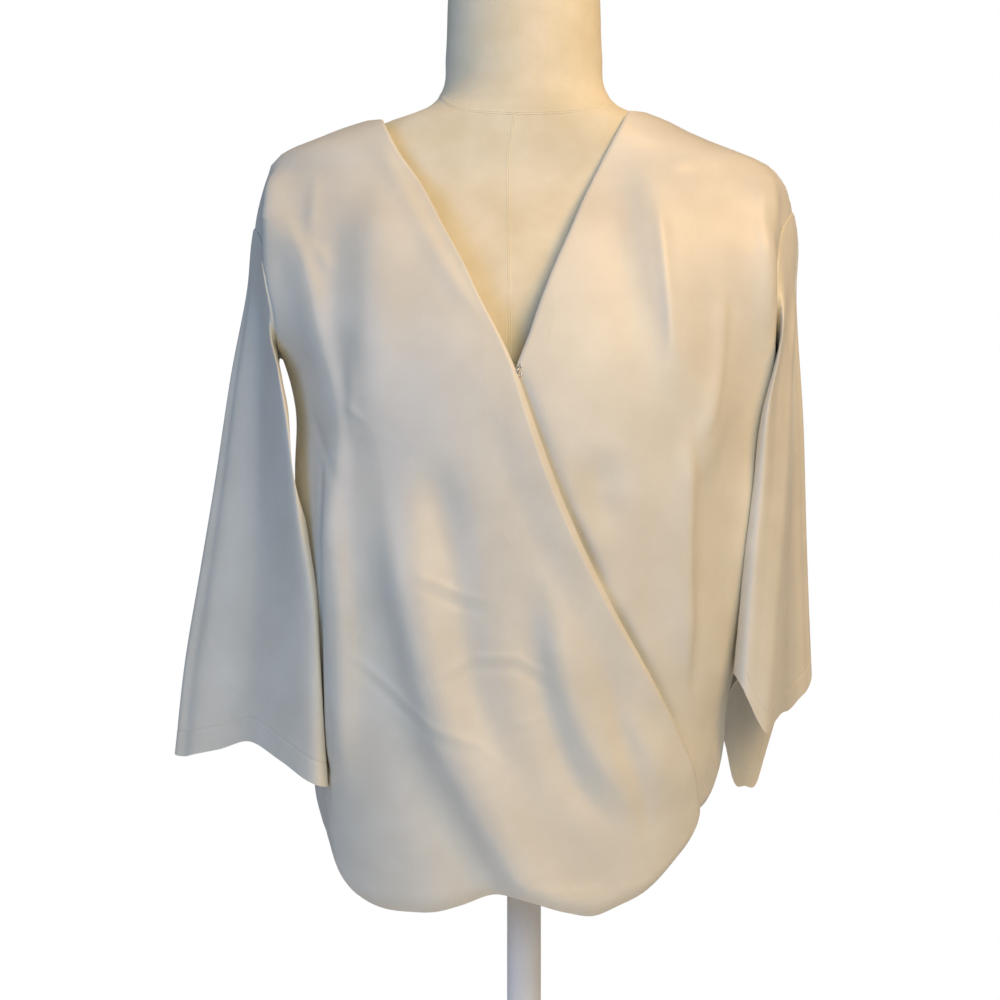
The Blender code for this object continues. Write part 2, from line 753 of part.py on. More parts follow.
def rings_body(name, rings):
    """A closed body through rings of points, with a fan over each end."""
    count = len(rings[0])
    points = [tuple(p) for ring in rings for p in ring]
    faces = []
    for row in range(len(rings) - 1):
        for i in range(count):
            a, b = row * count + i, row * count + (i + 1) % count
            faces += [(a, b, a + count), (b, b + count, a + count)]
    for row, ring in ((0, rings[0]), (len(rings) - 1, rings[-1])):
        middle = len(points)
        points.append(tuple(np.mean(ring, axis=0)))
        faces += [(row * count + i, row * count + (i + 1) % count, middle) for i in range(count)]
    return mesh_object(name, points, faces)


def dress_form():
    angle = np.linspace(0, 2 * math.pi, FORM_SEGMENTS, endpoint=False)
    rings = []
    for height, width, front, behind in FORM:
        depth = np.where(np.cos(angle) > 0, front, behind)
        ring = [width * np.sin(angle), -depth * np.cos(angle), height + 0 * angle]
        rings.append(np.stack(ring, -1))
    return rings_body("dress_form", rings)


def turned(name, profile, segments):
    """A round body from a profile of (radius, height)."""
    angle = np.linspace(0, 2 * math.pi, segments, endpoint=False)
    rings = [
        np.stack([r * np.cos(angle), r * np.sin(angle), z + 0 * angle], -1) for r, z in profile
    ]
    return rings_body(name, rings)


def stand():
    base = turned(
        "stand_base",
        [
            (BASE_RADIUS - BASE_EDGE / 2, 0.0),
            (BASE_RADIUS, BASE_EDGE / 2),
            (BASE_RADIUS, BASE_HEIGHT - BASE_EDGE),
            (BASE_RADIUS - BASE_EDGE, BASE_HEIGHT),
        ],
        48,
    )
    pole = turned(
        "stand_pole",
        [(POLE_RADIUS, BASE_HEIGHT + POLE_GAP), (POLE_RADIUS, FORM_FOOT_Z - POLE_GAP)],
        24,
    )
    return base, pole


def crossing():
    """Place beside the wrap's edge where the hook sits, and the cloth's directions there."""
    height = np.array(HOOK_Z)
    angle = angle_at(through(OVER_EDGE, height)[0] + HOOK_FROM_EDGE, height)
    place = Vector(cloth(angle, height))
    out = Vector(facing(cloth, angle, height))
    across = Vector((1, 0, 0))
    across = (across - out * across.dot(out)).normalized()
    return place, across, out


def wire(name, path):
    """A bent wire along a path of points."""
    curve = bpy.data.curves.new(name, "CURVE")
    curve.dimensions = "3D"
    spline = curve.splines.new("POLY")
    spline.points.add(len(path) - 1)
    for point, place in zip(spline.points, path):
        point.co = (*place, 1)
    curve.bevel_depth = WIRE_RADIUS
    curve.bevel_resolution = 1
    curve.use_fill_caps = True
    made = bpy.data.objects.new(name, curve)
    bpy.context.collection.objects.link(made)
    return made


def eye():
    """Two sewn-down loops joined by a bar that stands off the cloth."""
    place, across, out = crossing()
    up = out.cross(across)
    low = WIRE_RADIUS + WIRE_STANDOFF
    path = []
    for sign in (-1, 1):
        turns = np.radians(np.linspace(EYE_LOOP_START, 180.0, 10))
        ring = [
            place
            + across * (EYE_LOOP_ACROSS + EYE_LOOP_RADIUS * math.cos(t))
            + up * sign * (EYE_SPREAD / 2 + EYE_LOOP_RADIUS * math.sin(t))
            + out * low
            for t in turns
        ]
        path.append(ring)
    bar = [
        place
        + across * EYE_BAR_ACROSS
        + up * share * EYE_SPREAD / 2
        + out * (low + EYE_BAR_RISE * bump)
        for share, bump in ((-0.62, 0.6), (-0.35, 1.0), (0.0, 1.0), (0.35, 1.0), (0.62, 0.6))
    ]
    return wire("eye", path[0] + bar + path[1][::-1])


def hook():
    """A shank from under the over front's edge, bent back over the eye's bar."""
    place, across, out = crossing()
    bar = place + across * EYE_BAR_ACROSS + out * (WIRE_RADIUS + WIRE_STANDOFF + EYE_BAR_RISE)
    bend = HOOK_BEND_RADIUS
    path = [bar - across * HOOK_SHANK - out * bend * 0.92]
    path += [bar - out * bend]
    for k in range(1, 6):
        t = math.radians(-90 + 30 * k)
        path.append(bar + across * bend * math.cos(t) + out * bend * math.sin(t))
    path.append(bar + out * bend)
    path.append(bar + out * bend * 1.05 - across * HOOK_BILL)
    return wire("hook", path)


def material(name, colour, roughness, metallic=0.0):
    made = bpy.data.materials.new(name)
    made.use_nodes = True
    shader = made.node_tree.nodes["Principled BSDF"]
    shader.inputs["Base Color"].default_value = (*colour, 1)
    shader.inputs["Roughness"].default_value = roughness
    shader.inputs["Metallic"].default_value = metallic
    return made


def main():
    crepe = (0.60, 0.53, 0.45)
    pieces = [
        (right_front(), crepe, 0.45, 0.0),
        (left_front(), crepe, 0.45, 0.0),
        (back(), crepe, 0.45, 0.0),
        (sleeve("right_sleeve", "right", RIGHT_SLEEVE, RIGHT_SLEEVE_HEM), crepe, 0.45, 0.0),
        (sleeve("left_sleeve", "left", LEFT_SLEEVE, LEFT_SLEEVE_HEM), crepe, 0.45, 0.0),
        (hook(), (0.75, 0.75, 0.76), 0.25, 1.0),
        (eye(), (0.75, 0.75, 0.76), 0.25, 1.0),
        (dress_form(), (0.72, 0.66, 0.52), 0.85, 0.0),
    ]
    pieces += [(made, (0.80, 0.80, 0.79), 0.35, 0.0) for made in stand()]
    for made, colour, roughness, metallic in pieces:
        made.data.materials.append(material(made.name + " finish", colour, roughness, metallic))


main()
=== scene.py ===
"""A surplice blouse in ivory satin-back crepe, worn on a linen-covered dress form.

Metres, +Z up. The front faces -Y and +X is to the viewer's right, so the wearer's right front lies
at -X. The cloth keeps the sizes of the solids that it stands for. It adds finer rows, the small
folds and creases, the turned edges, the seams and the stitched sleeve hems.
"""

import math

import bmesh
import bpy
import numpy as np
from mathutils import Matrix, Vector

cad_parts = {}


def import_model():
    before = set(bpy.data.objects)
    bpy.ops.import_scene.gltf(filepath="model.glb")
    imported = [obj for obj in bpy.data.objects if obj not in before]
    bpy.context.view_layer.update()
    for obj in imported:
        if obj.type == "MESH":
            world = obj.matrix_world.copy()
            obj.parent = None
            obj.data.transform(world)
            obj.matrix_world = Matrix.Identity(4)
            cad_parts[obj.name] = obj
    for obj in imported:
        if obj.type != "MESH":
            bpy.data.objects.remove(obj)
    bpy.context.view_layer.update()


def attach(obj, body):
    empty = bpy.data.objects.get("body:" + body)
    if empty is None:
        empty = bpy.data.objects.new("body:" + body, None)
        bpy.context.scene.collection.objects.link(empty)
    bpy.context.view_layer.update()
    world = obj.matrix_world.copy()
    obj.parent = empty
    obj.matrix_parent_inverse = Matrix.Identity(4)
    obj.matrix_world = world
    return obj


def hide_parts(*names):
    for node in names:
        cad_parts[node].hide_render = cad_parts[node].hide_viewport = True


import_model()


def metres(kept, rows):
    """Rows of millimetres in metres. The first columns are kept: they hold angles or shares."""
    table = np.array(rows, dtype=float)
    table[:, kept:] /= 1000
    return table


# Cloth
CLOTH = 0.0007
SQUARENESS = 0.04
HEM_ROLL = 0.006
HEM_ROLL_HEIGHT = 0.014

# The two fronts, one over the other: how far the over front stands out and the hidden part of the
# under front sits in, and the width over which each comes to its full depth.
LAP = 0.0030
LAP_WIDTH = 0.022
UNDER_DEPTH = 0.0040
UNDER_WIDTH = 0.030
UNDER_HEM_RISE = 0.008

# Heights of the body's main levels
YOKE_Z = 0.740
FOLLOW_Z = 0.320
NECK_EDGE_DROP = 0.0055

# Stand
POLE_RADIUS = 0.013
POLE_GAP = 0.0003
BASE_RADIUS = 0.140
BASE_HEIGHT = 0.012
BASE_EDGE = 0.002

# Outer surface of the blouse's body: half widths to the viewer's left and right, depths to the
# front and back of the centre.
BODY = metres(0, (
    # height, left, right, front, back
    (779, 78, 79, 61, 72), (774, 94, 96, 61.5, 73), (769, 109.5, 110, 62, 73.5),
    (760.1, 139.5, 128, 62.5, 74.5), (751.7, 161.5, 148, 63, 76), (743.8, 181.5, 169, 63.5, 77.5),
    (738, 190.5, 183, 64.5, 79), (725.2, 196.2, 197.5, 69, 82), (709.8, 200.8, 204, 78, 86),
    (685.2, 205, 206.5, 93, 92), (650, 203, 204, 108, 99), (610, 193, 196, 119, 103),
    (583, 181.5, 190, 124.5, 104.5), (550, 173.5, 184.5, 128, 105.5),
    (500, 174.5, 178.5, 128.5, 106), (430, 173.5, 170, 126.5, 106.5),
    (360, 168, 162.5, 124, 107.5), (307, 163.5, 154, 121, 107.5), (285, 162, 154.5, 119.5, 107),
    (250, 160, 149, 118, 106), (200, 154.5, 140, 115, 104), (160, 150, 134, 113, 103),
))

# The hem's height all round. It rises at both side seams and falls again across the back.
HEM = metres(1, (
    # angle in degrees, height
    (-180, 167), (-150, 172), (-130, 192), (-118, 217), (-105, 245), (-90, 258), (-80, 243),
    (-73, 231), (-67, 216), (-58, 193), (-50, 184), (-42, 179), (-33, 178), (-25, 179), (-18, 184),
    (-8, 192.5), (0, 190), (12, 181), (21, 177), (29, 183), (39, 193), (49, 212), (54, 224),
    (57.5, 240), (65, 250), (73, 277), (82, 289), (92, 288), (101, 272), (110, 256), (120, 233),
    (131, 202), (146, 176), (180, 167),
))

# The back's neckline, from the wearer's left neck point round the nape to the right one.
BACK_NECK = metres(1, (
    # angle in degrees, height
    (90, 777.5), (105, 776.2), (122, 773.2), (138, 768), (152, 760), (166, 750), (180, 745),
    (194, 747.5), (208, 753.5), (222, 760.5), (240, 765.5), (258, 768.2), (270, 769),
))
LEFT_NECK_Z, RIGHT_NECK_Z = BACK_NECK[0, 1], BACK_NECK[-1, 1]

# The over front's free edge, from the wearer's right neck point down across the body.
OVER_EDGE = metres(0, (
    # height, across
    (763.5, -106), (739.8, -94.5), (712.9, -76.7), (680.8, -60.5), (651.2, -44.8), (626.8, -33.7),
    (605.3, -22.5), (574.6, -8), (543.4, 3), (489.7, 22.3), (443.9, 41.6), (394.8, 65.7),
    (350.1, 90.2), (320, 105.8),
))

# The under front's free edge; it shows down to the hook and goes on under the wrap.
UNDER_EDGE = metres(0, (
    # height, across
    (772, 78.7), (731.3, 57.4), (703.4, 43.9), (676.3, 32.5), (646.8, 19.8), (618.4, 9),
    (599.9, 2.8), (578.3, -5.6), (512.8, -26), (436, -50), (384.8, -70), (320, -98),
))

# Side seams, as angles round the body.
SIDE_SEAM = np.array((
    # height in metres, wearer's right, wearer's left
    (0.70, -90, 90), (0.58, -88, 88), (0.50, -84, 85), (0.42, -80, 80), (0.36, -77, 74.5),
    (0.32, -74, 68.5),
))
RIGHT_SEAM_FOOT = -67.0
LEFT_SEAM_FOOT = 57.3
OVER_FOOT = LEFT_SEAM_FOOT - 0.6
UNDER_FOOT = -60.0
SEAM_SWING = 1.8

# Armholes: rounded openings in angle and height under the shoulder line's end. The spread is half
# their width in degrees, and the power squares the oval off.
ARMHOLE_SPREAD = 27.5
ARMHOLE_POWER = 3.0
ARMHOLES = {
    # side: middle height, half height
    "right": (0.6378, 0.0500),
    "left": (0.6470, 0.0530),
}

# The body's folds, large and then small, in millimetres. A ridge has a positive height and a trough
# a negative one; the flanks are its half widths towards the viewer's left and right. Negative levels
# in a path mark the back.
FOLDS = (
    # height, left flank, right flank, fade at top, fade at foot, path of (across, height)
    # shoulders
    (6, 12, 20, 30, 50, ((-186, 735), (-186, 665), (-181, 620), (-172, 570))),
    (6, 20, 12, 30, 100, ((186, 735), (181, 660), (178, 560), (160, 420), (155, 340))),
    # the wrap, with its hollows
    (10, 17, 34, 90, 0, ((-95.5, 500), (-86, 425), (-76, 365), (-61, 305), (-34, 255),
      (-10, 215), (6, 190))),
    (-4.8, 28, 17, 80, 0, ((-108, 440), (-96, 370), (-78, 315), (-54, 262), (-33, 215),
      (-23, 180))),
    (-5, 16, 16, 50, 80, ((-69, 520), (-56, 450), (-47, 390), (-34, 330), (-10, 270))),
    (6, 14, 22, 80, 50, ((18, 440), (30, 345), (55, 288), (88, 240))),
    (-3.6, 14, 12, 80, 50, ((2, 430), (12, 345), (33, 280), (70, 225))),
    (3.5, 12, 14, 50, 40, ((64, 345), (88, 300), (106, 250))),
    # right side and chest
    (5, 14, 18, 80, 60, ((-133, 520), (-136, 420), (-133, 330), (-129, 240))),
    (4.5, 16, 22, 50, 60, ((-106, 720), (-109, 640), (-114, 560), (-115, 500))),
    # left chest, wrap's edge and left side
    (5.5, 18, 26, 40, 80, ((90, 745), (95, 660), (106, 600), (115, 520))),
    (-4, 13, 16, 30, 40, ((56, 520), (54, 480), (62, 440))),
    (5.5, 16, 16, 80, 60, ((142, 600), (136, 540), (118, 480), (118, 340))),
    # back
    (6, 22, 22, 100, 0, ((-98, -620), (-90, -450), (-106, -300), (-110, -180))),
    (5, 24, 24, 120, 0, ((-25, -600), (-20, -420), (-28, -160))),
    (6.5, 22, 22, 100, 0, ((78, -640), (70, -450), (60, -300), (64, -170))),
    # small folds of the right front
    (1.2, 4, 6, 20, 30, ((-124.7, 584.5), (-123.2, 551.3), (-122.5, 515.9))),
    (-1.8, 3, 4, 50, 40, ((-145.7, 518.7), (-145.7, 435.6), (-147.1, 348.9), (-150, 298.3))),
    (1.4, 3, 7, 60, 60, ((-140.6, 518.7), (-140.6, 406.7), (-141.3, 334.5), (-139.9, 230))),
    (3.2, 3.5, 12, 20, 50, ((-186.5, 735), (-186.5, 665), (-183, 620), (-175, 570))),
    (1.3, 6, 5, 30, 50, ((-154, 728), (-156, 690), (-160, 635))),
    (1.6, 9, 7, 40, 50, ((-113, 758), (-86, 700), (-56, 645), (-25, 595))),
    (4.5, 20, 9, 40, 60, ((-184, 705), (-162.3, 659), (-148.3, 602), (-134, 547), (-136.1, 465),
      (-130.4, 392), (-129, 260))),
    # small hollow at the foot of the wrap
    (-2.4, 8, 8, 60, 40, ((56, 370), (70, 305), (86, 255), (93, 220))),
    # small folds of the left neck and side
    (-3.4, 24, 13, 50, 100, ((72.5, 745), (80.8, 661), (91.5, 602), (93.6, 530))),
    (4, 16, 4, 30, 60, ((179, 690), (179.5, 640), (176.5, 560), (173, 520), (164.5, 480),
      (161, 390), (160, 330))),
    # hollow of the right chest
    (-2.2, 10, 12, 50, 60, ((-137, 710), (-140, 650), (-137, 600))),
    # small folds of the left collar, breast, waist and armhole
    (1.8, 3, 6, 40, 50, ((93.6, 710), (99.3, 653.2), (105.8, 570))),
    (2, 7, 5, 30, 30, ((146.3, 640), (144.1, 600.4), (139.8, 565.7), (134, 542.6), (123.9, 513.1))),
    (2.2, 7, 4, 50, 60, ((118.1, 540), (117.4, 464.5), (117.4, 406.7), (118.8, 320))),
    (-1.8, 5, 9, 50, 60, ((126.1, 535.1), (125.4, 464.5), (125.4, 406.7), (126.1, 324.5))),
    (1.6, 6, 5, 30, 30, ((175.2, 720.3), (175.2, 659.7), (174.5, 601.9))),
    # small folds of the back
    (-1.6, 12, 12, 50, 80, ((-135, -700), (-140, -600), (-142, -480))),
    (-1.8, 12, 12, 50, 80, ((130, -700), (138, -600), (142, -470))),
    (1.4, 6, 10, 60, 60, ((22, -520), (15, -420), (20, -260))),
    (1.6, 6, 9, 60, 50, ((-140, -500), (-145, -400), (-142, -280))),
)

# How far the over front's edge stands off the cloth under it.
EDGE_LIFT_REACH = 0.035
EDGE_LIFT = metres(0, (
    # height, lift
    (200, 0), (240, 0.8), (300, 2.2), (360, 3.6), (420, 4.5), (500, 4), (560, 1), (580, 0),
    (800, 0),
))

# Sleeves: the outer and inner lines of the tube, its half depth and the middle of its depth. The
# inner line is where the cloth would hang if the body weren't there.
SLEEVES = {
    # share of length, outer x, outer z, inner x, inner z, half depth, middle y
    "right": metres(1, (
        (0, -206.2, 687.8, -183, 587.8, 62, 0), (0.06, -208, 670, -182, 581, 68, 0),
        (0.14, -212.5, 640.5, -178, 566, 74, 0), (0.3, -224.6, 579, -168, 525, 79, 1),
        (0.5, -237.7, 494, -156, 457, 81, 3), (0.66, -249.2, 425, -144, 400, 83, 4),
        (0.82, -260.8, 356, -140, 338, 84, 5), (1, -269, 283, -138, 270, 85, 6),
    )),
    "left": metres(1, (
        (0, 206, 700, 188, 594, 62, 0), (0.06, 206.6, 682, 187, 586, 67, 0),
        (0.14, 207.8, 652, 183, 572, 72, 0), (0.3, 210.5, 608, 172, 535, 76, 1),
        (0.5, 215.4, 534, 164, 480, 77, 3), (0.66, 217.5, 460, 156, 425, 78, 4),
        (0.82, 219.6, 400, 151, 375, 78, 6), (1, 222.3, 338, 147, 320, 78, 8),
    )),
}

# Sleeve hems by the angle round the tube: 0 outside, 90 front, 180 inside, 270 back.
SLEEVE_HEMS = {
    # angle, height
    "right": metres(1, (
        (0, 284), (30, 282), (60, 288), (85, 296), (110, 284), (130, 272), (150, 267), (180, 271),
        (220, 284), (270, 292), (320, 289), (360, 284),
    )),
    "left": metres(1, (
        (0, 345), (12, 337), (33, 329), (62, 319), (82, 316.5), (88, 312), (94, 305.5), (104, 314),
        (115, 326), (129, 339), (145, 348), (163, 350), (180, 338), (200, 320), (222, 304), (238, 280),
        (245, 255.5), (258, 250), (276, 254.7), (283, 270), (293, 295), (303, 322), (312, 338),
        (325, 346), (343, 349), (360, 345),
    )),
}

# Sleeve folds, large and then small: ridges and troughs that run down the tube, in millimetres and
# degrees.
SLEEVE_FOLDS = {
    # height, angle at top, angle at hem, half width, share of length over which it comes up
    "right": (
        (-8.5, 86, 84, 26, 0.30), (4.5, 52, 46, 16, 0.12), (5, 232, 228, 22, 0.30),
        (-6, 275, 272, 24, 0.30), (5, 318, 322, 22, 0.35),
        (-1, 80, 84, 10, 0.35), (-1, 36, 30, 10, 0.40), (1.2, 20, 16, 9, 0.45),
        (1.4, 255, 250, 8, 0.35), (-1.2, 300, 298, 9, 0.40),
    ),
    "left": (
        (11, 62, 91, 20, 0.25), (-3, 108, 148, 18, 0.30), (-4, 32, 45, 18, 0.35),
        (6, 236, 232, 20, 0.30), (-6, 268, 262, 22, 0.30), (5, 312, 306, 20, 0.30),
        (2.8, 62, 95, 6, 0.25), (-3.2, 42, 68, 12, 0.30), (1.2, 80, 100, 8, 0.40),
        (-1.2, 15, 18, 9, 0.45), (1.4, 252, 246, 8, 0.35), (-1.2, 290, 284, 9, 0.40),
    ),
}

# How far the fullest line of each sleeve's front lies towards the body, and the share of the plain
# oval that the tube keeps.
SLEEVE_TURN = {"right": 3.2, "left": 2.3}
SLEEVE_ROUND = 0.15
BODY_CLEARANCE = 0.0045
SIDE_SOFTNESS = 0.004
RIM_SINK = 0.0012
RIM_WIDTH = 0.003
RIM_BLEND = 0.13
RIM_LEAN = 0.05
HEM_SLANT_START = 0.30

# The dress form: half width, depth to the front and to the back.
FORM = metres(0, (
    # height, half width, front, back
    (262, 122, 87, 87), (266, 132, 97.5, 96), (280, 137, 103, 101), (310, 137, 102, 101.5),
    (350, 128, 96, 94), (390, 120, 91.5, 83), (420, 118, 91, 78), (450, 123, 95, 80),
    (500, 138, 107, 88), (550, 150, 115, 94), (600, 159, 106, 96), (650, 169, 85, 92),
    (680, 175, 71, 86), (710, 180, 60, 80), (725, 181, 57, 76), (735.2, 179.5, 56, 73),
    (743.8, 163.5, 55.8, 71), (751.7, 142.5, 55.6, 69.5), (760.1, 122.5, 55.4, 68.5),
    (769, 103.8, 55.2, 67.5), (774, 88.5, 55, 67), (779, 76, 54.5, 66), (785, 68, 54, 65),
    (792, 63.5, 53, 63.5), (820, 60.2, 51.5, 61.5), (864, 58.5, 50, 60), (888, 57, 48.5, 58.5),
    (896, 52, 44, 53.5), (900, 40, 33, 41),
))
FORM_FOOT_Z = FORM[0, 0]

# Hook and eye, bent from one gauge of wire.
WIRE_RADIUS = 0.0004
WIRE_STANDOFF = 0.0003
EYE_LOOP_RADIUS = 0.00115
EYE_LOOP_ACROSS = 0.0012
EYE_LOOP_START = -75.0
EYE_SPREAD = 0.0058
EYE_BAR_RISE = 0.0013
EYE_BAR_ACROSS = -0.0002
HOOK_BEND_RADIUS = 0.0012
HOOK_SHANK = 0.0050
HOOK_BILL = 0.0006
HOOK_Z = 0.5720
HOOK_FROM_EDGE = 0.0016

# Where daylight shows between the right sleeve and the side: how far out the sleeve's inner wall
# stays, and how much further out it is for each metre towards the back.
DAYLIGHT = metres(0, (
    # height, distance out
    (420, 156), (460, 171), (480, 178.5), (496, 182.5), (547, 186), (585, 188.8), (610, 176),
    (660, 156),
))
DAYLIGHT_SPLAY = 0.16
DAYLIGHT_SOFTNESS = 0.0015

# The form's cover: the hollow between the breasts, the levels of the neck seam at the sides and
# back and at the front, and the angle of the centre front seam.
HOLLOW_DEPTH = 0.016
HOLLOW_Z = 0.575
HOLLOW_RISE = 0.045
HOLLOW_TURN = 0.34
NECK_SEAM_SIDE = 0.7905
NECK_SEAM_FRONT = 0.7680
FRONT_SEAM_ANGLE = -0.07
SEAM_FOOT_Z = 0.30

# Soft lights that all face the chest, and the room's even light
LIGHTS = (
    # name, place, size, watts, colour
    ("window", (-1.6, -2.1, 0.9), (1.2, 1.4), 18.0, "5CA9FF"),
    ("lamp", (0.95, -0.95, 1.75), (0.5, 0.5), 13.5, "FFC274"),
    ("ceiling", (0.7, -1.9, 1.8), (1.0, 0.8), 15.0, "FFF2D4"),
    ("front", (0.6, -2.5, 1.0), (0.8, 0.7), 10.5, "FFF0D0"),
    ("back", (0.5, 2.4, 0.9), (1.4, 1.2), 14.0, "F4F1EA"),
)
CHEST = (0, 0, 0.48)
ROOM_LIGHT = 0.25

# Radii of the paper floor: its edge, and where it begins to brighten
FLOOR_RADIUS = 0.46
FLOOR_GLOW_START = 0.30

# Creases in any direction, in millimetres too. A negative height is a hollow.
CREASES = (
    # height, half width, path of (across, level)
    # right waist, bust and shoulder
    (-0.8, 3.5, ((-159.4, 551.3), (-144.9, 518.7), (-130.5, 486.2))),
    (0.5, 2.8, ((-130.5, 554.9), (-121.1, 542.6), (-111, 533.9))),
    (-0.5, 2.8, ((-126.9, 532.5), (-121.1, 542.6), (-113.9, 552.7))),
    (1.2, 5, ((-154.3, 668.3), (-147.8, 657.5), (-142, 645.2))),
    # across the wrap
    (0.8, 2.6, ((-128.3, 369.9), (-90, 335.9), (-63.3, 315), (-32.9, 303.4), (-14.1, 286))),
    (-0.6, 3, ((-126.9, 360.5), (-92.2, 328), (-64.7, 307), (-34.4, 294))),
    (0.6, 2.4, ((-63.3, 351.1), (-36.5, 366.3), (-6.2, 366.3), (24.2, 347.5))),
    (-0.5, 2.8, ((-60.4, 342.4), (-36.5, 357.6), (-7.6, 358.3), (19.8, 340.2))),
    (0.6, 2.4, ((-9.8, 315), (1.8, 319.3), (12.6, 324.3))),
    (0.6, 2.4, ((-79.2, 427.7), (-48.1, 412.5), (-17.7, 404.6))),
    (-0.5, 2.8, ((-80.6, 419), (-50.3, 403.8), (-21.4, 395.2))),
    # right pocket
    (-2.2, 4.5, ((-152.9, 301.2), (-147.1, 288.9), (-140.6, 274.5))),
    # left shoulder
    (1.2, 4, ((105.8, 726.9), (118.8, 730.5), (130.4, 732.7))),
    # back
    (1.2, 6, ((-150, -700), (-90, -660), (-30, -645))),
    (-1, 6, ((120, -460), (60, -440), (0, -445))),
    (1.1, 5.5, ((-90, -290), (-30, -270), (40, -285))),
)

# The over front's turned edge: how wide the strip is that rolls away, and how far it sinks.
TURNED_EDGE = metres(0, (
    # height, width, drop
    (200, 3, 1.2), (280, 3, 1.4), (340, 3.5, 2.2), (400, 4.5, 3), (460, 5.5, 3.4), (530, 4.8, 3),
    (580, 2.6, 1.2), (760, 2.4, 1),
))

# How far the under front sinks in the shade just beside the over front's edge.
POCKET_WIDTH = 0.0055
POCKET = metres(0, (
    # height, depth
    (220, 0), (260, 1.8), (310, 1.8), (350, 3.4), (385, 4.2), (410, 1.8), (430, 4), (455, 4.4),
    (480, 2.2), (530, 2.6), (565, 1.6), (575, 0),
))

# The neck's rolled edge, the seam lines and the allowance turned in at them
NECK_EDGE_WIDTH = 0.0026
NECK_EDGE_SINK = 0.0010
SEAM_WIDTH = 0.0022
SEAM_SINK = 0.0003
ALLOWANCE = 0.0035
ALLOWANCE_DEPTH = 0.0005

# Sleeve hems: the height of the line of stitches above the edge, and one stitch.
STITCH_LINE = 0.019
STITCH_PITCH = 0.0030
STITCH_LENGTH = 0.0021
THREAD_RADIUS = 0.00018
THREAD_SIDES = 6
PUCKERS = 70
PUCKER_SINK = 0.0005
PUCKER_WIDTH = 0.0022
SLEEVE_LENGTH = 0.41

# Counts of rows and columns
EDGE_COLUMNS = 14
PANEL_COLUMNS = 120
NECK_ROWS = 14
SHOULDER_ROWS = 8
ARMHOLE_ROWS = 30
BODY_ROWS = 105
FOLLOW_ROWS = 50
SLEEVE_ROWS = 130
CUFF_ROWS = 34
SLEEVE_COLUMNS = 168
FORM_ROWS = 170
FORM_COLUMNS = 128


def through(rows, at):
    """Values of a table's smooth curve, whose first column is the measure that it is read at."""
    table = rows[np.argsort(rows[:, 0])]
    knots, values = table[:, 0], table[:, 1:]
    slopes = np.gradient(values, knots, axis=0)
    at = np.clip(np.asarray(at, dtype=float), knots[0], knots[-1])
    low = np.clip(np.searchsorted(knots, at) - 1, 0, len(knots) - 2)
    step = (knots[low + 1] - knots[low])[..., None]
    t = (at - knots[low])[..., None] / step
    start, end = values[low], values[low + 1]
    rise_in, rise_out = slopes[low] * step, slopes[low + 1] * step
    curve = (
        start * (1 + 2 * t) * (1 - t) ** 2
        + rise_in * t * (1 - t) ** 2
        + end * t * t * (3 - 2 * t)
        + rise_out * t * t * (t - 1)
    )
    return np.moveaxis(curve, -1, 0)


def smoothstep(value):
    value = np.clip(value, 0.0, 1.0)
    return value * value * (3 - 2 * value)


def wrapped(angle):
    """The same angle between -180 and 180 degrees, in radians."""
    return (np.asarray(angle) + math.pi) % (2 * math.pi) - math.pi


def section(angle, height):
    """Half width, depth and corner swell of the body at an angle round it."""
    left, right, front, back = through(BODY, height)
    width = np.where(np.sin(angle) < 0, left, right)
    depth = np.where(np.cos(angle) > 0, front, back)
    return width, depth, 1 + SQUARENESS * np.sin(2 * angle) ** 2


def ring_reach(angle, height):
    """Metres across the cloth for each radian round the body."""
    width, depth, _ = section(angle, height)
    return np.hypot(width * np.cos(angle), depth * np.sin(angle))


def plain_cloth(angle, height):
    """The body's surface before any fold."""
    width, depth, swell = section(angle, height)
    return np.stack(
        [width * swell * np.sin(angle), -depth * swell * np.cos(angle), height + 0 * angle], -1
    )


def facing(surface, angle, height):
    """Outward unit normal of a surface given by angle and height."""
    turn, rise = 0.004, 0.0008
    across = surface(angle + turn, height) - surface(angle - turn, height)
    up = surface(angle, height + rise) - surface(angle, height - rise)
    normal = np.cross(across, up)
    return normal / np.linalg.norm(normal, axis=-1, keepdims=True)


def angle_at(across, height, behind=False):
    """Angle round the body at a distance across it."""
    left, right, _, _ = through(BODY, height)
    width = np.where(np.asarray(across) < 0, left, right)
    swell = 1.0
    for _ in range(4):
        angle = np.arcsin(np.clip(across / (width * swell), -1.0, 1.0))
        swell = 1 + SQUARENESS * np.sin(2 * angle) ** 2
    return math.pi - angle if behind else angle


def in_metres(fold):
    """A fold's or crease's measures and its path, which are kept in millimetres."""
    return [measure / 1000 for measure in fold[:-1]], np.array(fold[-1]) / 1000


def fold_lines():
    """Each fold's middle angle, reach and strength by height, read off once."""
    levels = np.linspace(0.14, 0.80, 661)
    lines = []
    for fold in FOLDS:
        (rise, left, right, fade_top, fade_foot), path = in_metres(fold)
        across, heights = path[:, 0], np.abs(path[:, 1])
        behind = path[0, 1] < 0
        line = through(np.stack([heights, across], -1), levels)[0]
        middle = angle_at(line, levels, behind)
        strength = np.full(levels.shape, rise)
        if fade_top:
            strength = strength * smoothstep((heights.max() - levels) / fade_top)
        if fade_foot:
            strength = strength * smoothstep((levels - heights.min()) / fade_foot)
        lines.append((behind, left, right, middle, ring_reach(middle, levels), strength))
    return levels, lines


FOLD_LINES = fold_lines()


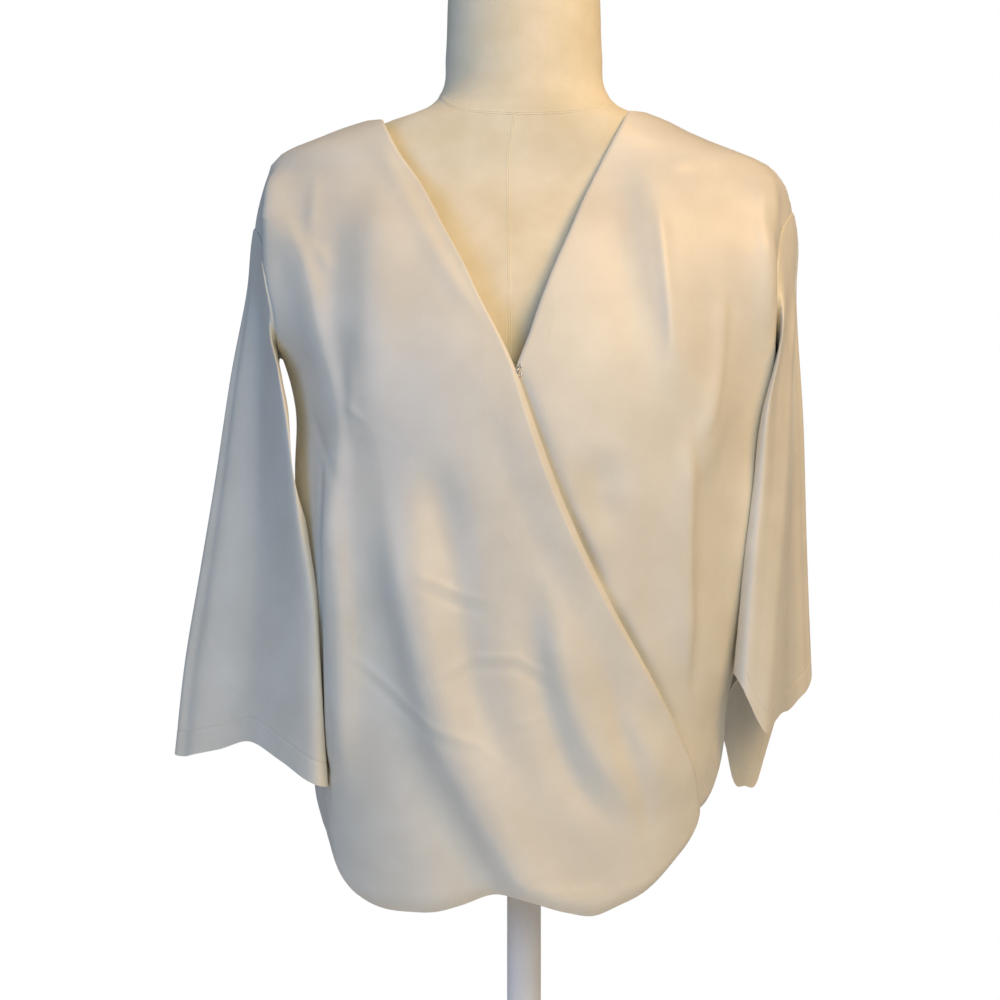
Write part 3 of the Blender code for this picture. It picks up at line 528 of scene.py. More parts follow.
def fold_height(angle, height):
    """Sum of the folds at a place on the body."""
    angle, height = np.broadcast_arrays(angle, height)
    levels, lines = FOLD_LINES
    total = np.zeros(angle.shape)
    for behind, left, right, middle, reach, strength in lines:
        away = wrapped(angle - np.interp(height, levels, middle))
        away = away * np.interp(height, levels, reach) * (-1 if behind else 1)
        flank = np.where(away < 0, left, right)
        total += np.exp(-((away / flank) ** 2)) * np.interp(height, levels, strength)
    return total


def crease_height(angle, height):
    """Sum of the creases at a place on the body."""
    angle, height = np.broadcast_arrays(angle, height)
    across = plain_cloth(angle, height)[..., 0]
    front = np.cos(angle) > 0
    total = np.zeros(angle.shape)
    for crease in CREASES:
        (rise, width), path = in_metres(crease)
        side = ~front if path[0, 1] < 0 else front
        points = np.stack([path[:, 0], np.abs(path[:, 1])], -1)
        total += rise * side * crease_shape(across, height, points, width)
    return total


def crease_shape(across, height, points, width):
    """A soft ridge along a path, full in its middle and fading to its ends."""
    lengths = np.linalg.norm(np.diff(points, axis=0), axis=1)
    start = np.concatenate([[0], np.cumsum(lengths)]) / lengths.sum()
    nearest = np.full(across.shape, 1.0)
    along = np.zeros(across.shape)
    for i in range(len(points) - 1):
        a, run = points[i], points[i + 1] - points[i]
        t = ((across - a[0]) * run[0] + (height - a[1]) * run[1]) / (run @ run)
        t = np.clip(t, 0.0, 1.0)
        away = np.hypot(across - a[0] - t * run[0], height - a[1] - t * run[1])
        closer = away < nearest
        nearest = np.where(closer, away, nearest)
        along = np.where(closer, start[i] + t * (start[i + 1] - start[i]), along)
    return np.exp(-((nearest / width) ** 2)) * np.sin(math.pi * along) ** 0.7


def hem_height(angle):
    return through(HEM, np.degrees(wrapped(angle)))[0]


def hem_roll(angle, height):
    """How far the cloth turns in just above the hem."""
    return HEM_ROLL * near(height - hem_height(angle), HEM_ROLL_HEIGHT)


def cloth(angle, height):
    """The body's surface with its folds and creases."""
    out = fold_height(angle, height) + crease_height(angle, height) - hem_roll(angle, height)
    return plain_cloth(angle, height) + facing(plain_cloth, angle, height) * out[..., None]


def side_seam(height, swing=0.0):
    """Angles of the two side seams, which swing forward towards the hem."""
    right, left = through(SIDE_SEAM, height)
    turn = 1 - (1 - swing) ** SEAM_SWING
    right = right + (RIGHT_SEAM_FOOT - right) * swing
    left = left + (LEFT_SEAM_FOOT - left) * turn
    return math.radians(right), math.radians(left)


def panel_limit(height, swing, side):
    """Angle of the seam that ends a panel, and how far an armhole cuts into the panel from it."""
    right, left = side_seam(height, swing)
    middle, half = ARMHOLES[side]
    share = min(1.0, abs(height - middle) / half)
    cut = math.radians(ARMHOLE_SPREAD) * math.sqrt(1 - share**ARMHOLE_POWER)
    return (right if side == "right" else left), cut


def body_levels(neck, side):
    """Rows from the neck point down: height at the seam, height inside, share of way to the hem."""
    middle, half = ARMHOLES[side]
    levels = []
    for share in np.linspace(1, 0, NECK_ROWS) ** 1.5:
        level = YOKE_Z + (neck - YOKE_Z) * share
        levels.append((level, level - NECK_EDGE_DROP * share, 0.0))
    for share in np.linspace(1, 0, SHOULDER_ROWS + 1)[1:]:
        level = middle + half + (YOKE_Z - middle - half) * share
        levels.append((level, level, 0.0))
    for share in np.linspace(0, 1, ARMHOLE_ROWS + 1)[1:-1]:
        level = middle + half * math.cos(math.pi * share)
        levels.append((level, middle + half * (1 - 2 * share), 0.0))
    levels += [(z, z, 0.0) for z in np.linspace(middle - half, FOLLOW_Z, BODY_ROWS)]
    follow = 1 - (1 - np.linspace(0, 1, FOLLOW_ROWS + 1)[1:]) ** 1.25
    return levels + [(FOLLOW_Z, FOLLOW_Z, share) for share in follow]


def edge_shares(reach=0.03):
    """Shares of a row's width, closer together beside its free edge."""
    inside = np.linspace(0, 1 - reach, PANEL_COLUMNS, endpoint=False)
    return np.concatenate([inside, np.linspace(1 - reach, 1, EDGE_COLUMNS)])


def grid_facing(points, cyclic=False):
    """Outward unit normals of a grid of points round an upright axis."""
    if cyclic:
        across = np.roll(points, -1, axis=1) - np.roll(points, 1, axis=1)
    else:
        across = np.gradient(points, axis=1)
    normal = np.cross(across, np.gradient(points, axis=0))
    normal /= np.maximum(np.linalg.norm(normal, axis=-1, keepdims=True), 1e-12)
    axis = points.mean(axis=1, keepdims=True) if cyclic else np.array([0.0, 0.0, 0.0])
    away = (points - axis) * np.array([1.0, 1.0, 0.0])
    return normal * np.sign((away * normal).sum())


def mesh_object(name, points, faces):
    """A named object, shaded smooth but for its sharp rims."""
    mesh = bpy.data.meshes.new(name)
    mesh.from_pydata(points.tolist(), [], faces)
    shaped = bmesh.new()
    shaped.from_mesh(mesh)
    bmesh.ops.recalc_face_normals(shaped, faces=shaped.faces)
    shaped.to_mesh(mesh)
    shaped.free()
    mesh.shade_smooth()
    mesh.set_sharp_from_angle(angle=math.radians(60))
    made = bpy.data.objects.new(name, mesh)
    bpy.context.collection.objects.link(made)
    return made


def grid_index(rows, columns, cyclic):
    """Numbers of a grid's points, with the first column again at the end if it closes."""
    index = np.arange(rows * columns).reshape(rows, columns)
    return np.hstack([index, index[:, :1]]) if cyclic else index


def grid_quads(index):
    """Faces between the points of a grid."""
    corners = (index[:-1, :-1], index[:-1, 1:], index[1:, 1:], index[1:, :-1])
    return np.stack(corners, -1).reshape(-1, 4)


def sheet_object(name, outer, cyclic=False, thickness=CLOTH):
    """A thin closed sheet under a grid of points, with a rim round its free edges."""
    inner = outer - grid_facing(outer, cyclic) * thickness
    index = grid_index(*outer.shape[:2], cyclic)
    quads, inside = grid_quads(index), index.max() + 1
    rim = rim_edges(index, cyclic)
    walls = np.stack([rim[:, 0], rim[:, 1], rim[:, 1] + inside, rim[:, 0] + inside], -1)
    faces = np.concatenate([quads, quads[:, ::-1] + inside, walls]).tolist()
    points = np.concatenate([outer.reshape(-1, 3), inner.reshape(-1, 3)])
    return mesh_object(name, points, faces)


def rim_edges(index, cyclic):
    """Pairs of grid points along the free border."""
    lines = [index[0], index[-1]] + ([] if cyclic else [index[:, 0], index[:, -1]])
    return np.concatenate([np.stack([line[:-1], line[1:]], -1) for line in lines])


def near(distance, width):
    """One at an edge, falling smoothly to nothing at a width from it."""
    return np.clip(1 - distance / width, 0.0, 1.0) ** 2


def front_grid(levels, side, free_edge, foot, hem_rise):
    """Angles and heights of a front's grid, and the angle of its side line at each row."""
    angles, heights, lines = [], [], []
    towards = 1 if side == "right" else -1
    share = edge_shares()
    for level, inside, swing in levels:
        seam, cut = panel_limit(level, swing, side)
        edge = float(angle_at(through(free_edge, inside)[0], inside))
        turn = 1 - (1 - swing) ** SEAM_SWING
        edge += (math.radians(foot) - edge) * turn
        row = seam + (edge - seam) * share + towards * cut * (1 - share) ** 2
        height = inside + (level - inside) * (1 - share) ** 2
        angles.append(row)
        heights.append(height - swing * (height - hem_height(row) - hem_rise))
        lines.append([seam])
    return np.array(angles), np.array(heights), np.array(lines)


def right_front():
    levels = body_levels(RIGHT_NECK_Z, "right")
    angle, height, line = front_grid(levels, "right", OVER_EDGE, OVER_FOOT, 0.0)
    reach = ring_reach(angle, height)
    to_seam, to_edge = (angle - angle[:, :1]) * reach, (angle[:, -1:] - angle) * reach
    width, drop = through(TURNED_EDGE, height)
    out = LAP * smoothstep((angle - line) * reach / LAP_WIDTH)
    out += through(EDGE_LIFT, height)[0] * smoothstep(1 - to_edge / EDGE_LIFT_REACH)
    out -= drop * np.clip(1 - to_edge / width, 0.0, 1.0) ** 1.3
    out -= SEAM_SINK * near(to_seam, SEAM_WIDTH)
    return sheet_object("blouse_right_front", moved_out(angle, height, out))


def left_front():
    levels = body_levels(LEFT_NECK_Z, "left")
    angle, height, _ = front_grid(levels, "left", UNDER_EDGE, UNDER_FOOT, UNDER_HEM_RISE)
    reach = ring_reach(angle, height)
    to_seam, to_edge = (angle[:, :1] - angle) * reach, (angle - angle[:, -1:]) * reach
    cover = (angle_at(through(OVER_EDGE, height)[0], height) - angle) * reach
    out = -UNDER_DEPTH * smoothstep(cover / UNDER_WIDTH) * (height < HOOK_Z)
    out -= through(POCKET, height)[0] * np.exp(-((cover / POCKET_WIDTH) ** 2))
    out -= NECK_EDGE_SINK * near(to_edge, NECK_EDGE_WIDTH) + SEAM_SINK * near(to_seam, SEAM_WIDTH)
    return sheet_object("blouse_left_front", moved_out(angle, height, out))


def moved_out(angle, height, out):
    """The body's cloth, moved out by a distance at each point."""
    return cloth(angle, height) + facing(plain_cloth, angle, height) * out[..., None]


def back():
    right_levels = body_levels(RIGHT_NECK_Z, "right")
    left_levels = body_levels(LEFT_NECK_Z, "left")
    share = np.concatenate([[0.0], np.linspace(0.012, 0.988, PANEL_COLUMNS + 20), [1.0]])
    angles, heights = [], []
    for (left_z, left_in, swing), (right_z, right_in, _) in zip(left_levels, right_levels):
        start, left_cut = panel_limit(left_z, swing, "left")
        end, right_cut = panel_limit(right_z, swing, "right")
        row = start + (end + 2 * math.pi - start) * share
        row = row + left_cut * (1 - share) ** 3 - right_cut * share**3
        level = left_in + (right_in - left_in) * smoothstep(share)
        level = level + (left_z - left_in) * (1 - share) ** 3 + (right_z - right_in) * share**3
        if min(left_z, right_z) > YOKE_Z:
            neck = through(BACK_NECK, np.degrees(row))[0]
            climb = (left_z - YOKE_Z) / (LEFT_NECK_Z - YOKE_Z)
            level = YOKE_Z + climb * (neck - YOKE_Z)
        angles.append(row)
        heights.append(level - swing * (level - hem_height(row)))
    angle, height = np.array(angles), np.array(heights)
    reach = ring_reach(angle, height)
    to_seam = np.minimum(angle - angle[:, :1], angle[:, -1:] - angle) * reach
    out = -SEAM_SINK * near(to_seam, SEAM_WIDTH)
    under = np.array([-1.0, *[0.0] * (len(share) - 2), 1.0]) * ALLOWANCE / reach
    out = np.where(under != 0, -ALLOWANCE_DEPTH, out)
    return sheet_object("blouse_back", moved_out(angle + under, height, out))


def clear_of_body(points, side, clearance):
    """Moves a sleeve's points out from the body's side where they would sink into it."""
    sign = -1 if side == "right" else 1
    _, _, front, behind = through(BODY, points[..., 2])
    depth = np.where(points[..., 1] < 0, front, behind)
    share = np.clip(-points[..., 1] / depth, -1.0, 1.0)
    angle = sign * np.arccos(share)
    wall = sign * cloth(angle, points[..., 2])[..., 0] + clearance
    sink = wall - sign * points[..., 0]
    soft = SIDE_SOFTNESS * clearance / BODY_CLEARANCE
    result = points.copy()
    result[..., 0] += sign * (sink + np.sqrt(sink * sink + soft * soft)) / 2
    return result


def swung_out(points):
    """Holds the right sleeve clear of the side where daylight shows between them."""
    reach, = through(DAYLIGHT, points[..., 2])
    sink = reach + DAYLIGHT_SPLAY * points[..., 1] + points[..., 0]
    result = points.copy()
    result[..., 0] -= (sink + np.sqrt(sink * sink + DAYLIGHT_SOFTNESS**2)) / 2
    return result


def armhole_rim(around, side, wider, sink):
    """Points of the armhole's seam line, or of a wider line under the body's cloth."""
    middle, half = ARMHOLES[side]
    sign = -1 if side == "right" else 1
    share = np.cos(around)
    height = middle + (half + wider) * share
    spread = np.sqrt(np.maximum(0.0, 1 - np.abs(share) ** ARMHOLE_POWER))
    spread = math.radians(ARMHOLE_SPREAD) * spread * np.sign(np.sin(around))
    reach = ring_reach(sign * math.pi / 2, height)
    spread = spread + wider * np.sin(around) / reach
    angle = sign * (math.pi / 2 - spread)
    out = np.zeros(height.shape) - sink
    if side == "right":
        out += LAP * smoothstep(spread * reach / LAP_WIDTH)
    return moved_out(angle, height, out)


def sleeve_tube(side):
    """A function of the angle round the tube and the share of its length."""
    outward = -1 if side == "right" else 1
    table, hem = SLEEVES[side], SLEEVE_HEMS[side]

    def tube(around, share):
        outer_x, outer_z, inner_x, inner_z, depth, middle = through(table, share)
        inward = (1 - np.cos(around)) / 2
        x = outer_x + (inner_x - outer_x) * inward
        z = outer_z + (inner_z - outer_z) * inward
        level_foot = table[-1][2] + (table[-1][4] - table[-1][2]) * inward
        slant = through(hem, np.degrees(around) % 360)[0] - level_foot
        z = z + slant * smoothstep((share - HEM_SLANT_START) / (1 - HEM_SLANT_START))
        folded = sleeve_folds(around, share, side)
        front = (around / math.pi) ** SLEEVE_TURN[side] * math.pi
        front = np.where(around < math.pi, front, around)
        swept = SLEEVE_ROUND * around + (1 - SLEEVE_ROUND) * front
        y = middle - (depth + folded) * np.sin(swept)
        x = x + outward * folded * np.cos(around)
        lean = np.stack([outward * share * RIM_LEAN, 0 * share, 0 * share], -1)
        sink = RIM_SINK * near(share * SLEEVE_LENGTH, RIM_WIDTH)
        rim = armhole_rim(around, side, 0.0, sink) + lean
        blend = smoothstep(share / RIM_BLEND)
        hanging = rim + (np.stack([x, y, z], -1) - rim) * blend[..., None]
        hanging = clear_of_body(hanging, side, BODY_CLEARANCE * blend)
        return swung_out(hanging) if side == "right" else hanging

    return tube


def sleeve_folds(around, share, side):
    total = np.zeros(np.broadcast(around, share).shape)
    for rise, top, foot, width, fade in SLEEVE_FOLDS[side]:
        middle = np.radians(top + (foot - top) * share)
        away = wrapped(around - middle) / math.radians(width)
        total = total + rise / 1000 * np.exp(-away * away) * smoothstep(share / fade)
    return total


def sleeve(name, side):
    """The sleeve's sheet, and the row of stitches that holds its hem."""
    tube = sleeve_tube(side)
    cuff = STITCH_LINE * 1.4 / SLEEVE_LENGTH
    share = np.linspace(0, 1 - cuff, SLEEVE_ROWS, endpoint=False)
    share = np.concatenate([share, np.linspace(1 - cuff, 1, CUFF_ROWS)])
    around = np.linspace(0, 2 * math.pi, SLEEVE_COLUMNS, endpoint=False)
    around, share = np.meshgrid(around, share)
    points = tube(around, share)
    out = grid_facing(points, cyclic=True)
    to_line = np.abs(share - (1 - STITCH_LINE / SLEEVE_LENGTH)) * SLEEVE_LENGTH
    pucker = PUCKER_SINK * (0.75 + 0.25 * np.sin(around * PUCKERS))
    points = points - out * (pucker * near(to_line, PUCKER_WIDTH))[..., None]
    row = int(np.argmin(to_line[:, 0]))
    seam = stitches(name + "_stitches", points[row], out[row])
    under = armhole_rim(around[:1], side, ALLOWANCE, ALLOWANCE_DEPTH + CLOTH)
    points = np.concatenate([under, points])
    return sheet_object(name, points, cyclic=True), seam


def stitches(name, line, out):
    """Short straight stitches end to end round a closed line of points."""
    closed = np.concatenate([line, line[:1]])
    facing_out = np.concatenate([out, out[:1]])
    lengths = np.linalg.norm(np.diff(closed, axis=0), axis=1)
    along = np.concatenate([[0], np.cumsum(lengths)])
    count = int(along[-1] / STITCH_PITCH)
    points, faces = [], []
    for start in np.arange(count) * STITCH_PITCH:
        ends = []
        for share, lift in ((0, -0.6), (0.15, 0.35), (0.5, 0.6), (0.85, 0.35), (1, -0.6)):
            at = start + share * STITCH_LENGTH
            place = np.array([np.interp(at, along, closed[:, k]) for k in range(3)])
            up = np.array([np.interp(at, along, facing_out[:, k]) for k in range(3)])
            ends.append((place + up * lift * THREAD_RADIUS, up))
        add_thread(points, faces, ends)
    return mesh_object(name, np.array(points), faces)


def add_thread(points, faces, ends):
    """A six-sided thread through places, each with the direction that it faces."""
    index = grid_index(len(ends), THREAD_SIDES, True) + len(points)
    run = ends[-1][0] - ends[0][0]
    run /= np.linalg.norm(run)
    for place, up in ends:
        side = np.cross(run, up)
        side /= np.linalg.norm(side)
        for k in range(THREAD_SIDES):
            t = 2 * math.pi * k / THREAD_SIDES
            points.append(place + (side * math.cos(t) + up * math.sin(t)) * THREAD_RADIUS)
    faces += grid_quads(index).tolist() + [index[0, :-1].tolist(), index[-1, -2::-1].tolist()]


def form_surface(angle, height):
    """The dress form's cover, with the hollow between the breasts."""
    width, front, behind = through(FORM, height)
    across, up = wrapped(angle) / HOLLOW_TURN, (height - HOLLOW_Z) / HOLLOW_RISE
    hollow = np.exp(-(across**2) - up**2)
    depth = np.where(np.cos(angle) > 0, front - HOLLOW_DEPTH * hollow, behind)
    return np.stack([width * np.sin(angle), -depth * np.cos(angle), height + 0 * angle], -1)


def dress_form():
    """The cover's rings from the foot to the top of the neck, and a fan over each end."""
    knots = FORM[:, 0]
    height = np.interp(np.linspace(0, 1, FORM_ROWS), np.linspace(0, 1, len(knots)), knots)
    angle = np.linspace(0, 2 * math.pi, FORM_COLUMNS, endpoint=False)
    return rings_object("form_cover", form_surface(*np.meshgrid(angle, height)))


def rings_object(name, rings):
    """A closed body through rings of points."""
    index = grid_index(*rings.shape[:2], True)
    points = np.concatenate([rings.reshape(-1, 3), [rings[0].mean(0)], [rings[-1].mean(0)]])
    faces = grid_quads(index).tolist()
    for ring, middle in ((index[0], len(points) - 2), (index[-1], len(points) - 1)):
        faces += [[a, b, middle] for a, b in zip(ring[:-1].tolist(), ring[1:].tolist())]
    return mesh_object(name, points, faces)


def form_seam(name, angle, height):
    """A sewn seam on the form's cover: two low welts with a groove between them."""
    profile = ((-0.0016, -0.0002), (-0.0010, 0.0003), (-0.0004, 0.0003), (0.0, -0.0001),
               (0.0004, 0.0003), (0.0010, 0.0003), (0.0016, -0.0002))
    middle = form_surface(angle, height)
    out = facing(form_surface, angle, height)
    run = np.gradient(middle, axis=0)
    side = np.cross(run, out)
    side /= np.linalg.norm(side, axis=-1, keepdims=True)
    rows = np.stack([middle + side * x + out * lift for x, lift in profile], axis=1)
    return sheet_object(name, rows, thickness=0.0004)


def turned(name, profile, segments):
    """A round body from a profile of (radius, height)."""
    angle = np.linspace(0, 2 * math.pi, segments, endpoint=False)
    rings = [np.stack([r * np.cos(angle), r * np.sin(angle), z + 0 * angle], -1) for r, z in profile]
    return rings_object(name, np.array(rings))


def rounded(radius, low, high, edge, steps=5):
    """Half a rounded bar's outline, from its underside to its top."""
    turns = [math.radians(90 * k / steps) for k in range(steps + 1)]
    foot = [(radius - edge + edge * math.sin(t), low + edge - edge * math.cos(t)) for t in turns]
    top = [(radius - edge + edge * math.cos(t), high - edge + edge * math.sin(t)) for t in turns]
    return foot + top


def crossing():
    """Place beside the wrap's edge where the hook sits, and the cloth's directions there."""
    height = np.array([HOOK_Z])
    angle = angle_at(through(OVER_EDGE, height)[0] + HOOK_FROM_EDGE, height)
    place = Vector(cloth(angle, height)[0])
    out = Vector(facing(cloth, angle, height)[0])
    across = Vector((1, 0, 0))
    across = (across - out * across.dot(out)).normalized()
    return place, across, out


def wire(name, path):
    """A bent wire along a path of points."""
    curve = bpy.data.curves.new(name, "CURVE")
    curve.dimensions = "3D"
    spline = curve.splines.new("NURBS")
    spline.points.add(len(path) - 1)
    for point, place in zip(spline.points, path):
        point.co = (*place, 1)
    spline.use_endpoint_u = True
    spline.order_u = 3
    curve.bevel_depth = WIRE_RADIUS
    curve.bevel_resolution = 4
    curve.use_fill_caps = True
    made = bpy.data.objects.new(name, curve)
    bpy.context.collection.objects.link(made)
    return made


def eye():
    """Two sewn-down loops joined by a bar that stands off the cloth."""
    place, across, out = crossing()
    up = out.cross(across)
    low = WIRE_RADIUS + WIRE_STANDOFF
    path = []
    for sign in (-1, 1):
        turns = np.radians(np.linspace(EYE_LOOP_START, 180.0, 14))
        ring = [
            place
            + across * (EYE_LOOP_ACROSS + EYE_LOOP_RADIUS * math.cos(t))
            + up * sign * (EYE_SPREAD / 2 + EYE_LOOP_RADIUS * math.sin(t))
            + out * low
            for t in turns
        ]
        path.append(ring)
    bar = [
        place
        + across * EYE_BAR_ACROSS
        + up * share * EYE_SPREAD / 2
        + out * (low + EYE_BAR_RISE * bump)
        for share, bump in ((-0.62, 0.6), (-0.35, 1.0), (0.0, 1.0), (0.35, 1.0), (0.62, 0.6))
    ]
    return wire("eye_wire", path[0] + bar + path[1][::-1])


def hook():
    """A shank from under the over front's edge, bent back over the eye's bar."""
    place, across, out = crossing()
    bar = place + across * EYE_BAR_ACROSS + out * (WIRE_RADIUS + WIRE_STANDOFF + EYE_BAR_RISE)
    bend = HOOK_BEND_RADIUS
    path = [bar - across * HOOK_SHANK - out * bend * 0.92]
    path += [bar - out * bend]
    for k in range(1, 8):
        t = math.radians(-90 + 22.5 * k)
        path.append(bar + across * bend * math.cos(t) + out * bend * math.sin(t))
    path.append(bar + out * bend)
    path.append(bar + out * bend * 1.05 - across * HOOK_BILL)
    return wire("hook_wire", path)


def shown(colour):
    """Linear colour of an sRGB hex value."""
    parts = [int(colour[i : i + 2], 16) / 255 for i in (0, 2, 4)]
    return (*[p / 12.92 if p <= 0.04045 else ((p + 0.055) / 1.055) ** 2.4 for p in parts], 1)


def add(tree, kind, settings, links=()):
    """A node with its settings, and links into it as (its input, from node, from output)."""
    node = tree.nodes.new("ShaderNode" + kind)
    for key, value in settings.items():
        if isinstance(key, int) or key in node.inputs:
            node.inputs[key].default_value = value
        else:
            setattr(node, key, value)
    for socket, source, output in links:
        tree.links.new(source.outputs[output], node.inputs[socket])
    return node


def finish_of(name, **shader_values):
    """A new material with its shader's own values set, and its tree and object coordinates."""
    made = bpy.data.materials.new(name)
    made.use_nodes = True
    tree = made.node_tree
    shader = tree.nodes["Principled BSDF"]
    for socket, value in shader_values.items():
        shader.inputs[socket.replace("_", " ")].default_value = value
    place = add(tree, "TexCoord", {})
    return made, tree, shader, place


def noise(tree, place, scale, detail, output="Object", **more):
    """A noise pattern with its number of blotches to the metre and its fineness."""
    settings = {"Scale": scale, "Detail": detail, **more}
    return add(tree, "TexNoise", settings, [("Vector", place, output)])


def relief(tree, pattern, output, strength, distance, under=None):
    """A pattern as relief of a real height in metres, over another relief if there is one."""
    links = [("Height", pattern, output)] + ([("Normal", under, "Normal")] if under else [])
    return add(tree, "Bump", {"Strength": strength, "Distance": distance}, links)


def two_tones(tree, pattern, low, high, dark, light):
    """Two colours that a pattern blends between two of its values."""
    tone = add(tree, "ValToRGB", {}, [("Fac", pattern, "Fac")])
    first, second = tone.color_ramp.elements
    first.position, second.position = low, high
    first.color, second.color = shown(dark), shown(light)
    return tone


def satin_back_crepe():
    """Woven polyester crepe, matt side out with a satin back: a soft low sheen over a fine pebble.

    The pebble is about 0.5 mm on the real cloth and is drawn at 1.1 mm so that it shows.
    """
    made, tree, shader, place = finish_of(
        "satin_back_crepe", Roughness=0.42, Sheen_Weight=0.2, Sheen_Roughness=0.4, IOR=1.5,
        Sheen_Tint=shown("FFF6E8"), Specular_IOR_Level=0.6
    )
    mottle = noise(tree, place, 22.0, 3.0, Roughness=0.55)
    tone = two_tones(tree, mottle, 0.35, 0.68, "DDD8C9", "E5E1D3")
    pebble = noise(tree, place, 900.0, 2.0)
    stretch = add(tree, "Mapping", {"Scale": (1.0, 1.0, 0.6)},
                  [("Vector", place, "Object")])
    creased = {"noise_type": "RIDGED_MULTIFRACTAL", "Roughness": 0.45, "Lacunarity": 2.3,
               "Offset": 0.9, "Gain": 1.2}
    soft = noise(tree, stretch, 13.0, 3.0, "Vector", **creased)
    crumple = relief(tree, soft, "Fac", 0.5, 0.0010)
    grain = relief(tree, pebble, "Fac", 0.4, 0.0002, crumple)
    tree.links.new(tone.outputs["Color"], shader.inputs["Base Color"])
    tree.links.new(grain.outputs["Normal"], shader.inputs["Normal"])
    return made


def linen_cover():
    """Plain-woven linen stretched over padding: matt, with threads crossing and a few slubs.

    The threads are about 0.6 mm apart and are drawn at 1.2 mm so that they show.
    """
    made, tree, shader, place = finish_of(
        "linen_cover", Roughness=0.86, Sheen_Weight=0.12, Specular_IOR_Level=0.25
    )
    waves = []
    for axis in ("X", "Z"):
        settings = {"wave_type": "BANDS", "bands_direction": axis, "Scale": 262.0,
                    "Distortion": 1.2, "Detail": 1.0, "Detail Scale": 2.0}
        waves.append(add(tree, "TexWave", settings, [("Vector", place, "Object")]))
    cross = add(tree, "Math", {"operation": "MULTIPLY"},
                [(0, waves[0], "Fac"), (1, waves[1], "Fac")])
    tone = two_tones(tree, noise(tree, place, 30.0, 4.0), 0.3, 0.7, "E3D9BB", "F0E8D0")
    weave = relief(tree, cross, "Value", 0.5, 0.00015)
    tree.links.new(tone.outputs["Color"], shader.inputs["Base Color"])
    tree.links.new(weave.outputs["Normal"], shader.inputs["Normal"])
    return made


def painted_steel():
    """Powder-coated steel: even white with the faint orange peel of the coat."""
    made, tree, shader, place = finish_of(
        "powder_coated_steel", Roughness=0.38, Base_Color=shown("F0EFEC")
    )
    coat = relief(tree, noise(tree, place, 700.0, 1.0), "Fac", 0.25, 0.00006)
    rough = add(tree, "MapRange", {"To Min": 0.32, "To Max": 0.5},
                [("Value", noise(tree, place, 18.0, 5.0), "Fac")])
    tree.links.new(coat.outputs["Normal"], shader.inputs["Normal"])
    tree.links.new(rough.outputs["Result"], shader.inputs["Roughness"])
    return made


def nickel_wire():
    """Nickel-plated brass wire: bright, with fine drawing marks along it."""
    made, tree, shader, place = finish_of(
        "nickel_wire", Metallic=1.0, Roughness=0.2, Base_Color=shown("D9D8D4")
    )
    rough = add(tree, "MapRange", {"To Min": 0.14, "To Max": 0.3},
                [("Value", noise(tree, place, 3000.0, 2.0), "Fac")])
    tree.links.new(rough.outputs["Result"], shader.inputs["Roughness"])
    return made


def studio_paper():
    """A matt white paper floor that brightens into the backdrop away from the object."""
    made, tree, shader, place = finish_of(
        "studio_paper", Roughness=0.9, Base_Color=shown("F4F3F1"), Emission_Color=shown("FFFFFF")
    )
    run = add(tree, "VectorMath", {"operation": "LENGTH"}, [(0, place, "Object")])
    settings = {"From Min": FLOOR_GLOW_START, "From Max": FLOOR_RADIUS, "To Min": 0.0,
                "To Max": 0.25, "interpolation_type": "SMOOTHSTEP"}
    glow = add(tree, "MapRange", settings, [("Value", run, "Value")])
    tree.links.new(glow.outputs["Result"], shader.inputs["Emission Strength"])
    return made


def lights():
    """A cool window to the left, a warm lamp to the right and soft lights above and behind."""
    for name, place, size, power, colour in LIGHTS:
        data = bpy.data.lights.new(name, "AREA")
        data.shape = "RECTANGLE"
        data.size, data.size_y = size
        data.energy = power
        data.color = shown(colour)[:3]
        light = bpy.data.objects.new(name, data)
        light.location = place
        light.rotation_euler = (Vector(CHEST) - light.location).to_track_quat("-Z", "Y").to_euler()
        bpy.context.collection.objects.link(light)


def world():
    """A white backdrop to the eye, and a dim even light on the cloth."""
    made = bpy.data.worlds.new("studio")
    made.use_nodes = True
    tree = made.node_tree
    tree.nodes.clear()
    ray = add(tree, "LightPath", {})
    room = add(tree, "Background", {"Color": shown("EEF2F6"), "Strength": ROOM_LIGHT})
    white = add(tree, "Background", {"Color": shown("FFFFFF"), "Strength": 1.0})
    mix = add(tree, "MixShader", {},
              [(0, ray, "Is Camera Ray"), (1, room, "Background"), (2, white, "Background")])
    add(tree, "OutputWorld", {}, [("Surface", mix, "Shader")])
    bpy.context.scene.world = made


def camera():
    """The photograph's place: level, 1.9 m in front of the form and a little to the left."""
    data = bpy.data.cameras.new("camera")
    data.lens = 88.92
    data.sensor_width = 36.0
    eye_place = bpy.data.objects.new("camera", data)
    eye_place.location = (-0.01846, -1.9, 0.479)
    eye_place.rotation_euler = (math.pi / 2, 0, 0)
    bpy.context.collection.objects.link(eye_place)
    bpy.context.scene.camera = eye_place


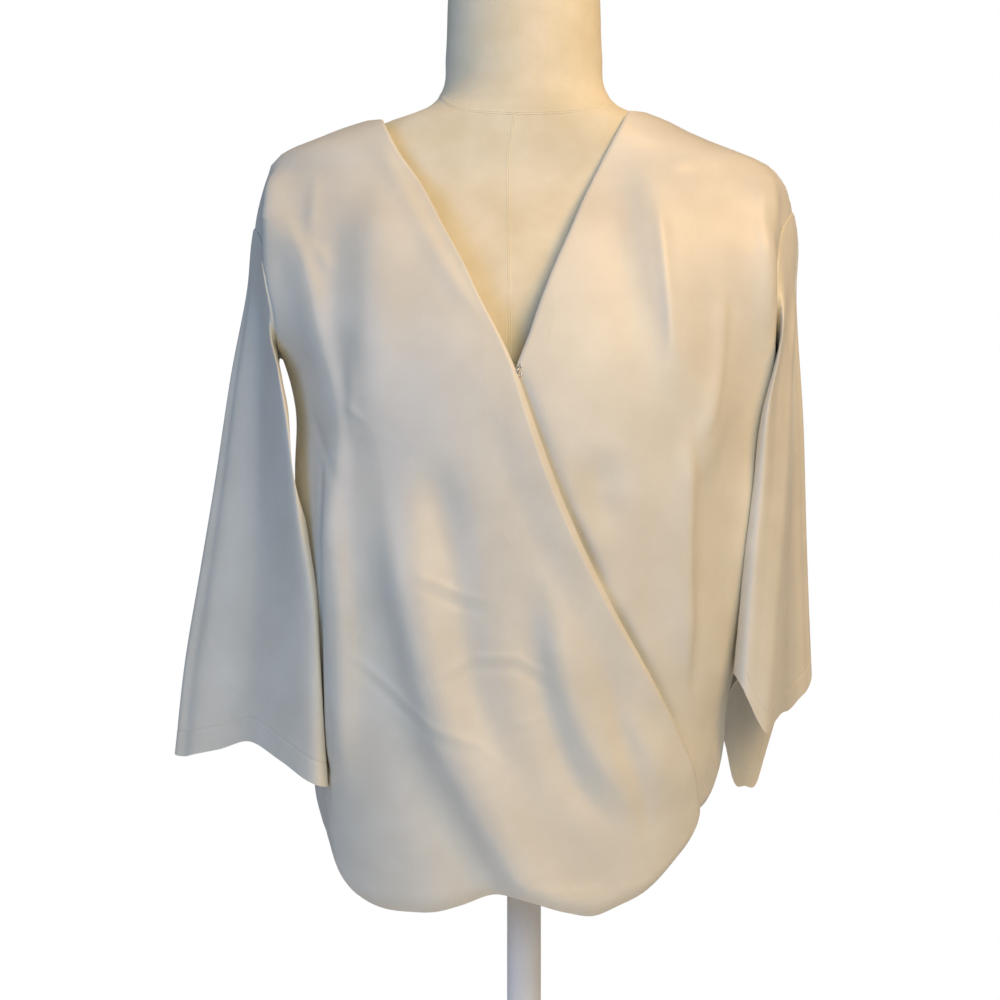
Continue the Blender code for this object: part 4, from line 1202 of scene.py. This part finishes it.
def floor():
    """A round sheet of paper on the ground."""
    rings = ((FLOOR_RADIUS, -0.0022), (FLOOR_RADIUS, -0.0002), (FLOOR_GLOW_START, -0.0002),
             (0.15, -0.0002))
    paper = turned("paper_floor", rings, 96)
    paper.data.materials.append(studio_paper())


def carried(piece, finish, nodes):
    """Gives a piece its finish, and sets it in its solid's place."""
    piece.data.materials.clear()
    piece.data.materials.append(finish)
    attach(piece, "root")
    if nodes:
        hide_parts(*nodes)


def blouse(crepe):
    panels = (
        # piece, its node, width of the cut, area of the cut
        (right_front(), "right_front", 0.40, 0.160),
        (left_front(), "left_front", 0.36, 0.125),
        (back(), "back", 0.50, 0.245),
    )
    for panel, node, width, area in panels:
        carried(panel, crepe, [node])
    for side in ("right", "left"):
        tube, seam = sleeve(f"blouse_{side}_sleeve", side)
        carried(tube, crepe, [f"{side}_sleeve"])
        carried(seam, crepe, [])


def form():
    linen = linen_cover()
    carried(dress_form(), linen, ["dress_form"])
    turn = np.linspace(-math.pi, math.pi, 120)
    dip = NECK_SEAM_SIDE - NECK_SEAM_FRONT
    level = NECK_SEAM_SIDE - dip * np.maximum(0, np.cos(turn)) ** 1.5
    seams = (
        ("neck", turn, level),
        ("front", np.full(90, FRONT_SEAM_ANGLE), np.linspace(NECK_SEAM_FRONT, SEAM_FOOT_Z, 90)),
        ("back", np.full(90, math.pi), np.linspace(NECK_SEAM_SIDE, SEAM_FOOT_Z, 90)),
    )
    for name, angle, height in seams:
        carried(form_seam(f"form_{name}_seam", angle, height), linen, [])


def stand():
    steel = painted_steel()
    base = turned("base_plate", rounded(BASE_RADIUS, 0.0, BASE_HEIGHT, BASE_EDGE), 128)
    pole = turned("pole_tube", rounded(POLE_RADIUS, BASE_HEIGHT + POLE_GAP, FORM_FOOT_Z, 0.0006), 48)
    carried(base, steel, ["stand_base"])
    carried(pole, steel, ["stand_pole"])


def main():
    camera()
    world()
    lights()
    floor()
    blouse(satin_back_crepe())
    form()
    stand()
    wires = nickel_wire()
    carried(hook(), wires, ["hook"])
    carried(eye(), wires, ["eye"])
    bpy.context.scene.view_settings.view_transform = "Standard"


main()
